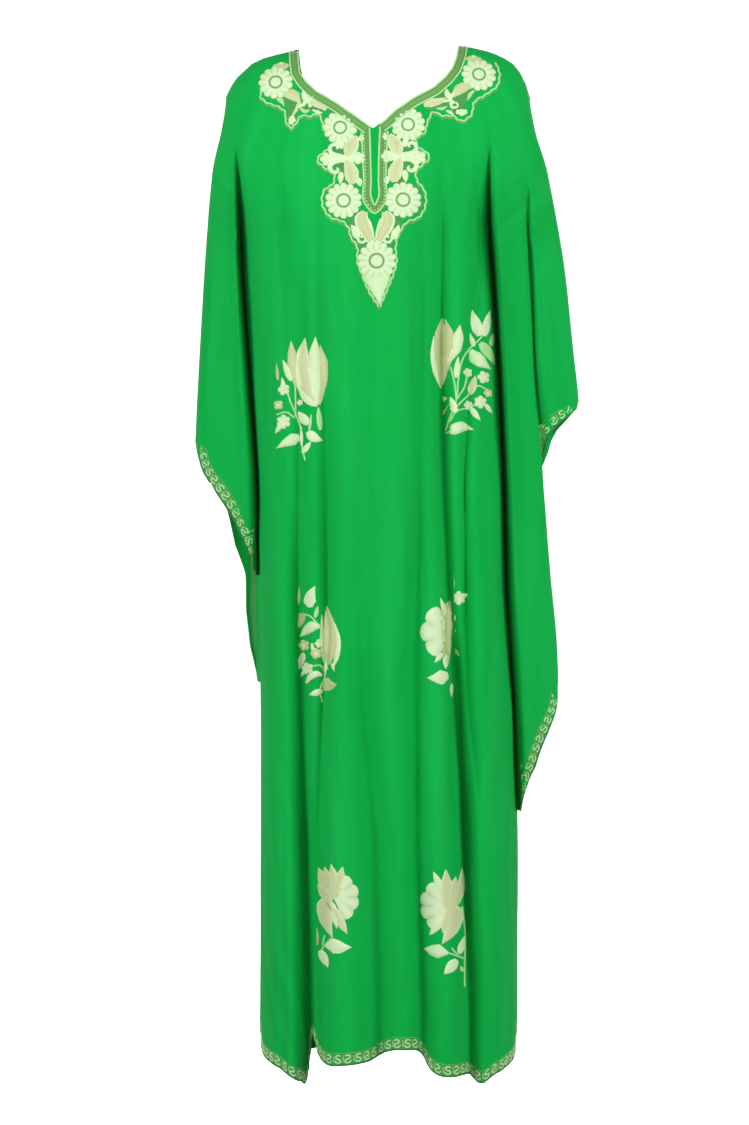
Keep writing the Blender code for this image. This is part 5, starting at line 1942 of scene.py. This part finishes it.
MOTIFS = (
    Motif((
        (STEM, (-10, 58.2), (-10.4, 56.3), (-10.5, 54.2), (-11.2, 52), (-12.1, 49.9), (-12.7, 47.9)),
        (STEM, (-11.3, 52.2), (-11.3, 49.5), (-11.5, 46.8), (-12, 45.4)),
        (STEM, (-13.9, 51.9), (-12.6, 51.6), (-11.4, 52.4)),
        (BROAD, BEIGE, SAND, (-9.2, 49.6, 0.3), (-10.9, 47.2, 0.85), (-11.55, 45, 0.85), (-11.8, 43.4, 0.55),
         (-11.9, 41.9, 0.04)),
        (BROAD, BEIGE, SAND, (-8.1, 50.3, 0.2), (-7.5, 47.3, 0.6), (-7.5, 44.8, 0.62), (-7.9, 42.5, 0.04)),
        (BROAD, BEIGE, CREAM, (-8.8, 50.2, 0.35), (-10, 48, 1.1), (-10.4, 45.5, 1.1), (-10.3, 43.4, 0.75),
         (-9.95, 41.5, 0.04)),
        (BROAD, CREAM, BEIGE, (-8.4, 50.5, 0.3), (-8.5, 48, 1.15), (-8.6, 45.5, 1.15), (-8.6, 43.4, 0.8),
         (-8.55, 41.4, 0.04)),
        (PETAL, (-8.3, 50.5), (-9.6, 45.4), 0.8, CREAM, 0.05), (PETAL, (-8.1, 50.6), (-7.4, 46.6), 0.45, BEIGE),
        (PETAL, (-8.3, 50.7), (-10.9, 48), 0.6, CREAM, -0.1), (PETAL, (-11.9, 47.3), (-13.05, 44.4), 0.45, CREAM),
        (FLOWER, (-12.9, 48.5), 0.82, 5, CREAM), (PETAL, (-12.9, 48.3), (-13.15, 46.8), 0.3, CREAM),
        (FLOWER, (-13.65, 50.6), 0.68, 4, BEIGE), (FLOWER, (-12.95, 52.9), 0.98, 6, CREAM),
        (PETAL, (-13.3, 53.3), (-14.1, 54.5), 0.34, CREAM), (PETAL, (-9.5, 53.3), (-11, 51.5), 0.62, CREAM),
        (FLOWER, (-10.7, 50.3), 0.45, 5, CREAM), (PETAL, (-7.9, 54.1), (-8.2, 50.8), 0.4, MINT),
        (PETAL, (-9.6, 54.3), (-7.6, 55.5), 0.68, CREAM, 0.1), (PETAL, (-9.4, 54.2), (-9.1, 51.8), 0.22, MINT),
        (PETAL, (-10.3, 57.2), (-9.1, 55.6), 0.4, CREAM),
        (BROAD, CREAM, MINT, (-10.7, 55, 0.4), (-11.6, 55.3, 0.85), (-12.7, 55.8, 0.55), (-13.9, 56.5, 0.04)),
        (PETAL, (-10.4, 56.2), (-10.5, 53.5), 0.24, CREAM), (PETAL, (-13.7, 47.2), (-13.9, 44.9), 0.24, SAND),
    )),
    Motif((
        (STEM, (9.25, 54.1), (9.8, 52.4), (10.7, 49.9), (11, 46.9), (11.7, 44.1), (12.6, 42.8), (14, 41.4),
         (14.6, 40.6)),
        (STEM, (10.7, 49.9), (10.4, 47.4), (9.9, 45.4)), (STEM, (10.8, 49.8), (11.8, 48.2), (12.2, 46.6)),
        (STEM, (10.6, 51), (12.2, 49.4), (13.8, 47.9), (15, 48.4)),
        (STEM, (9.8, 52.9), (10.7, 51.5), (12.2, 51), (14, 50.2)),
        (BROAD, CREAM, None, (7.6, 41.2, 0.04), (7.45, 43.7, 0.3), (7.8, 46, 0.34), (8.5, 48.1, 0.06)),
        (BROAD, SAND, BEIGE, (8.8, 38.7, 0.08), (8.6, 40.8, 0.8), (8.6, 43.7, 1.05), (8.7, 46.3, 0.8),
         (8.6, 48.3, 0.06)),
        (BROAD, BEIGE, SAND, (9.2, 38.9, 0.04), (9.7, 40.8, 0.6), (9.8, 43.4, 0.65), (9.3, 46.4, 0.12)),
        (BROAD, CREAM, BEIGE, (11.2, 39.7, 0.04), (10.95, 41.3, 0.78), (10.45, 42.8, 0.95), (9.8, 44.1, 0.6),
         (9.4, 45.5, 0.06)),
        (PETAL, (13.95, 41), (12.9, 37.5), 0.78, CREAM), (PETAL, (14.6, 41), (15.45, 37.4), 0.6, CREAM),
        (PETAL, (13.2, 42.5), (12.6, 40.7), 0.36, CREAM), (PETAL, (15.6, 42.3), (15.9, 40.4), 0.38, MINT),
        (PETAL, (14, 42), (16.1, 44.8), 0.75, MINT, -0.06),
        (BROAD, CREAM, MINT, (12.7, 43, 0.3), (13.3, 43.9, 0.95), (14.2, 44.6, 0.85), (15.5, 45.5, 0.04)),
        (PETAL, (10.65, 46.9), (10.95, 44), 0.4, CREAM), (FLOWER, (12.3, 46.15), 0.66, 5, CREAM),
        (FLOWER, (14.5, 46.7), 0.88, 5, CREAM), (PETAL, (12.6, 49.1), (13.4, 46.5), 0.58, BEIGE),
        (FLOWER, (15.1, 48.85), 0.62, 5, BEIGE), (FLOWER, (14.05, 50.15), 0.9, 6, CREAM),
        (PETAL, (14.7, 50.4), (15.7, 51.6), 0.34, CREAM), (FLOWER, (12.35, 50.6), 0.66, 5, CREAM),
        (PETAL, (12.6, 50.9), (14, 52.7), 0.42, CREAM), (PETAL, (10.6, 51.7), (9.9, 49.5), 0.5, CREAM),
        (FLOWER, (9.3, 49.7), 0.5, 4, MINT), (PETAL, (9.6, 50.6), (8.9, 52), 0.3, SAND),
        (BROAD, CREAM, MINT, (9.2, 54.5, 0.2), (10.3, 54, 0.75), (11.4, 53.6, 0.75), (13.1, 53.95, 0.04)),
    )),
    Motif((
        (STEM, (-10.9, 79.3), (-9.5, 79.4), (-8.5, 80.3), (-7.9, 81.1), (-7.9, 82.8)),
        (STEM, (-9, 83.2), (-8.6, 84.4)),
        (STEM, (-9, 86.3), (-7.8, 86.3), (-7.3, 87.2), (-7.9, 89.7), (-7.6, 91.3)),
        (BROAD, SAND, BEIGE, (-7, 78.1, 0.04), (-6.8, 79.8, 0.6), (-6.5, 82.1, 0.98), (-6.6, 84.4, 0.9),
         (-6.8, 86.1, 0.15)),
        (BROAD, BEIGE, SAND, (-6.3, 79.6, 0.04), (-6, 81.6, 0.5), (-6.1, 83.8, 0.5), (-6.5, 85.8, 0.1)),
        (BROAD, BEIGE, CREAM, (-7.7, 79.3, 0.04), (-7.6, 82.5, 0.34), (-7.3, 85.4, 0.3), (-6.9, 86.8, 0.06)),
        (BROAD, CREAM, None, (-6, 80.3, 0.04), (-5.5, 82.1, 0.28), (-5.4, 83.5, 0.34), (-5.7, 85.2, 0.32),
         (-6.2, 86.6, 0.06)),
        (BROAD, CREAM, None, (-8.6, 75.4, 0.04), (-9.2, 76.6, 0.68), (-9.35, 77.5, 0.88), (-9.25, 78.3, 0.3)),
        (PETAL, (-10.9, 77.9), (-10.85, 75.5), 0.2, SAND), (PETAL, (-8.6, 79.7), (-8.2, 78.1), 0.3, MINT),
        (PETAL, (-10.2, 79.1), (-10.95, 81.2), 0.5, SAND),
        (BROAD, CREAM, MINT, (-8, 80.9, 0.3), (-9, 80.9, 0.75), (-9.8, 81.5, 0.6), (-10.7, 82.4, 0.04)),
        (FLOWER, (-10.15, 83.55), 0.78, 5, BEIGE), (FLOWER, (-8.05, 83.25), 0.6, 5, CREAM),
        (FLOWER, (-8.45, 84.6), 0.78, 5, BEIGE), (PETAL, (-8.9, 84.3), (-9.1, 83.2), 0.2, CREAM),
        (PETAL, (-10.2, 84.6), (-10.9, 86.9), 0.5, BEIGE), (FLOWER, (-9.65, 86.7), 0.82, 5, CREAM),
        (PETAL, (-10, 87), (-10.7, 87.9), 0.26, CREAM),
        (BROAD, CREAM, None, (-9.8, 88.7, 0.16), (-9.2, 87.8, 0.42), (-8.4, 87.4, 0.44), (-7.7, 87.6, 0.2)),
        (BROAD, SAND, MINT, (-7.7, 88.6, 0.3), (-7.1, 88.8, 0.95), (-6.5, 88.9, 0.72), (-5.6, 88.8, 0.04)),
        (PETAL, (-7.6, 89.7), (-9.4, 90.3), 0.46, CREAM), (PETAL, (-6.3, 85.9), (-5.9, 87), 0.2, CREAM),
        (PETAL, (-7.2, 86), (-7.1, 87.3), 0.2, CREAM),
    ), left_lip=((-11.1, 75), (-11, 92))),
    Motif((
        (BROAD, SAND, BEIGE, (9.9, 77.4, 0.1), (9.3, 79, 0.9), (9.3, 81.4, 0.9), (9.4, 84.6, 0.6),
         (9.5, 86.2, 0.1)),
        (FAN, (9.9, 81.6), 4.2, 3, CREAM, 112, 246), (PETAL, (9.6, 80), (8.5, 77), 0.42, CREAM),
        (PETAL, (9.8, 82), (9.3, 78), 0.6, BEIGE), (PETAL, (9.7, 84.4), (9.4, 80.6), 0.5, BEIGE),
        (PETAL, (9.3, 84.8), (9.25, 86.7), 0.46, CREAM), (PETAL, (8.8, 84.6), (7.7, 85.8), 0.36, CREAM),
        (BROAD, CREAM, None, (6.7, 87.9, 0.04), (7.6, 87.9, 0.5), (8.6, 87.8, 1.05), (9.5, 87.6, 0.5)),
        (PETAL, (9.6, 87.6), (8.4, 88), 0.3, BEIGE), (PETAL, (10.1, 88.8), (10.05, 90.6), 0.28, CREAM),
    ), right_lip=((10.1, 75), (10.5, 92))),
    Motif((
        (PETAL, (10.2, 75.9), (10, 73.4), 0.38, MINT), (FLOWER, (11.05, 77.05), 0.98, 6, CREAM),
        (PETAL, (11.5, 76.9), (12.3, 76.5), 0.36, CREAM), (PETAL, (10.3, 79.2), (10.6, 80.2), 0.2, MINT),
        (PETAL, (10.4, 84.1), (11.2, 85), 0.3, MINT), (PETAL, (10.3, 81.2), (10.7, 81.8), 0.16, MINT),
    ), left_lip=((10.4, 73), (10.7, 92))),
    Motif((
        (PETAL, (-6.2, 117.7), (-8.2, 114), 1.1, BEIGE), (PETAL, (-6.3, 117.8), (-7.3, 113.7), 0.95, BEIGE),
        (PETAL, (-6.5, 117.9), (-8.3, 116.3), 0.9, BEIGE), (PETAL, (-5.9, 117.7), (-6.4, 113.2), 0.85, BEIGE, 0.03),
        (PETAL, (-5.8, 117.7), (-4.8, 113.5), 0.9, BEIGE), (FAN, (-6.1, 117.7), 3.55, 4, CREAM, -68, 64),
        (PETAL, (-6.2, 119), (-4.2, 122.6), 0.7, BEIGE), (PETAL, (-6.3, 118.4), (-5.6, 121.9), 0.6, CREAM),
        (BROAD, BEIGE, CREAM, (-6.6, 117.6, 0.5), (-7.3, 119.3, 1.15), (-7.1, 121, 0.95), (-6.2, 123.2, 0.04)),
        (BROAD, CREAM, None, (-7.1, 124.5, 0.2), (-6.2, 124.3, 1.05), (-5.2, 124.4, 0.85), (-3.6, 124.4, 0.04)),
        (PETAL, (-7.9, 125.2), (-6.8, 127.3), 0.66, CREAM), (PETAL, (-8.3, 124.6), (-8.35, 122.2), 0.24, SAND),
        (STEM, (-6.3, 123.2), (-7.3, 124.4), (-8, 125.6)), (STEM, (-7.3, 123), (-7.6, 124.4)),
        (PETAL, (-6.9, 118.4), (-6.2, 119.6), 0.3, SAND),
    ), left_lip=((-8.45, 112), (-8.35, 128))),
    Motif((
        (STEM, (11.5, 119.2), (11.95, 123), (11.85, 127), (11.85, 130.1)),
        (STEM, (9.5, 125.2), (10.9, 125.8), (11.9, 126.4)), (STEM, (10, 124.6), (10.9, 125.7)),
        (FAN, (9.7, 118.8), 4.05, 4, CREAM, 116, 240), (PETAL, (8.6, 116.6), (7.5, 114.2), 0.5, CREAM),
        (PETAL, (10.3, 119.1), (11.5, 114.1), 0.72, BEIGE, 0.08), (PETAL, (9.7, 119.3), (10.6, 115), 0.95, BEIGE),
        (PETAL, (9.4, 119.3), (9.2, 113.9), 0.98, BEIGE),
        (BROAD, BEIGE, CREAM, (9.6, 118.9, 0.7), (10.4, 120.3, 1.3), (9.9, 122.1, 1.05), (8.7, 124, 0.04)),
        (PETAL, (8.8, 120.4), (7, 122.9), 0.6, CREAM), (PETAL, (9.4, 119.6), (8.8, 122.6), 0.6, BEIGE),
        (BROAD, CREAM, MINT, (6.3, 124.8, 0.04), (7.2, 124.9, 0.7), (8.2, 125, 1), (9.5, 125.3, 0.2)),
        (PETAL, (10.7, 126.3), (9, 128.1), 0.76, CREAM), (PETAL, (11.1, 125.5), (11.8, 123.3), 0.56, CREAM),
        (PETAL, (11.6, 128), (11.2, 127.2), 0.26, MINT),
    ), right_lip=((12.35, 112), (12.6, 131))),
)


@dataclass
class Borders:
    """The running scroll along the hems, with the rolled edge below it and a fine line above it."""

    repeat: float = 2.9
    foot: float = 0.42
    hook: tuple = (
        (0.22, 0.42, 0.07), (0.42, 0.12, 0.13), (0.85, 0.02, 0.13), (1.16, 0.26, 0.13), (0.98, 0.56, 0.13),
        (0.55, 0.68, 0.13), (0.42, 0.98, 0.13), (0.72, 1.22, 0.13), (1.18, 1.12, 0.07),
    )
    squat: float = 0.85
    top_line: float = 1.72
    dash: tuple = ((0, 0.15, 0.04), (0.06, 0.6, 0.09), (0, 1, 0.04))
    dash_places: Pair = (0.02, 0.52)
    along_step: float = 0.7

    def run(self, needle: Needle, length: float) -> None:
        """Embroiders one hem.

        Args:
            needle: what embroiders it.
            length: the hem's length, in centimetres.
        """
        count = max(1, round(length / self.repeat))
        repeat = length / count
        scale = repeat / self.repeat
        for index in range(count):
            start = index * repeat
            for begin, way in ((start, scale), (start + repeat, -scale)):
                hook = [(begin + x * way, self.foot + up * self.squat, wide) for x, up, wide in self.hook]
                needle.broad(hook, MINT, None, 0.6, 0.17)
            for place in self.dash_places:
                dash = [(start + repeat * place + x, self.foot + up, wide) for x, up, wide in self.dash]
                needle.broad(dash, SAND, None, 0.4)
        along = np.arange(0.0, length, self.along_step)
        for up, wide, yarn, height in (
            (0.92, 0.72, GROUND, 0.1), (self.top_line, 0.06, OLIVE, 0.35), (0.14, 0.15, ROLLED, 0.8),
        ):
            needle.stroke([(at, up) for at in along], wide, yarn, height=height, step=0.25)

    def build(self, cloth: Cloth) -> bpy.types.Object:
        """Makes the borders of one cloth: the body's hem and both wings' hems.

        Args:
            cloth: the cloth.

        Returns:
            The piece.
        """
        pile = MeshPile(f"border_{cloth.side.name.lower()}")
        for chart in (HemChart(cloth), WingHemChart(cloth, 0), WingHemChart(cloth, 1)):
            self.run(Needle(pile, chart), chart.length)
        return pile.build()


# ---- the kaftan ----


@dataclass
class Kaftan:
    """The whole garment: its two cloths and what is sewn on them.

    front_cut and back_cut are each cloth's widest and longest run and its area, measured along the cloth as made,
    in metres and square metres.
    """

    front: Cloth = field(init=False)
    back: Cloth = field(init=False)
    front_cut: Triple = (0.90, 1.50, 0.98)
    back_cut: Triple = (0.83, 1.48, 0.91)

    def cloths(self) -> None:
        """Lays out both cloths and makes their sheets."""
        self.front = Cloth(
            Side.FRONT, FRONT_FOLDS, (FRONT_WING_LEFT, FRONT_WING_RIGHT), (REACH_FRONT_LEFT, REACH_FRONT_RIGHT),
            FRONT_NECKLINE, FRONT_HEM, seed=11,
        )
        self.back = Cloth(
            Side.BACK, BACK_FOLDS, (BACK_WING_LEFT, BACK_WING_RIGHT), (REACH_BACK_LEFT, REACH_BACK_RIGHT),
            BACK_NECKLINE, BACK_HEM, seed=23,
        )
        cotton = GreenCotton().make()
        for cloth, name, (width, length, area) in (
            (self.front, "front", self.front_cut), (self.back, "back", self.back_cut),
        ):
            cloth.lay_out()
            piece = cloth_piece(cloth, f"{name}_cloth")
            piece.data.materials.append(cotton)
            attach(piece, "root")
            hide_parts(f"{name}_body", f"{name}_wing_left", f"{name}_wing_right")
            LOG.info("%s: %.2f square metres cut, %.3f made", piece.name, area, cloth.area())

    def embroider(self) -> None:
        """Sews on the bands, the yoke, the flower sprays and the borders."""
        satin = Thread("satin_stitch", 0.55 * MM, 0.62, 0.10 * MM).make()
        chain = Thread("chain_stitch", 1.9 * MM, 0.66, 0.16 * MM, chained=True).make()
        bands, borders = Bands(), Borders()
        flowers, lines = Yoke().build(self.front)
        sprays = MeshPile("flower_sprays")
        for motif in MOTIFS:
            motif.embroider(sprays, self.front)
        pieces = [
            (bands.neck(self.front, "neck_band_front_trim"), chain),
            (bands.neck(self.back, "neck_band_back_trim"), chain),
            (bands.slit(self.front), chain),
            (flowers, satin),
            (lines, chain),
            (sprays.build(), satin),
            (borders.build(self.front), chain),
            (borders.build(self.back), chain),
        ]
        for piece, thread in pieces:
            piece.data.materials.append(thread)
            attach(piece, "root")
            LOG.info("%s: %d faces", piece.name, len(piece.data.polygons))


def main() -> None:
    """Dresses the kaftan piece by piece."""
    logging.basicConfig(level=logging.INFO, format="%(message)s")
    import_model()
    Studio().build()
    kaftan = Kaftan()
    kaftan.cloths()
    kaftan.embroider()


if __name__ == "__main__":
    main()
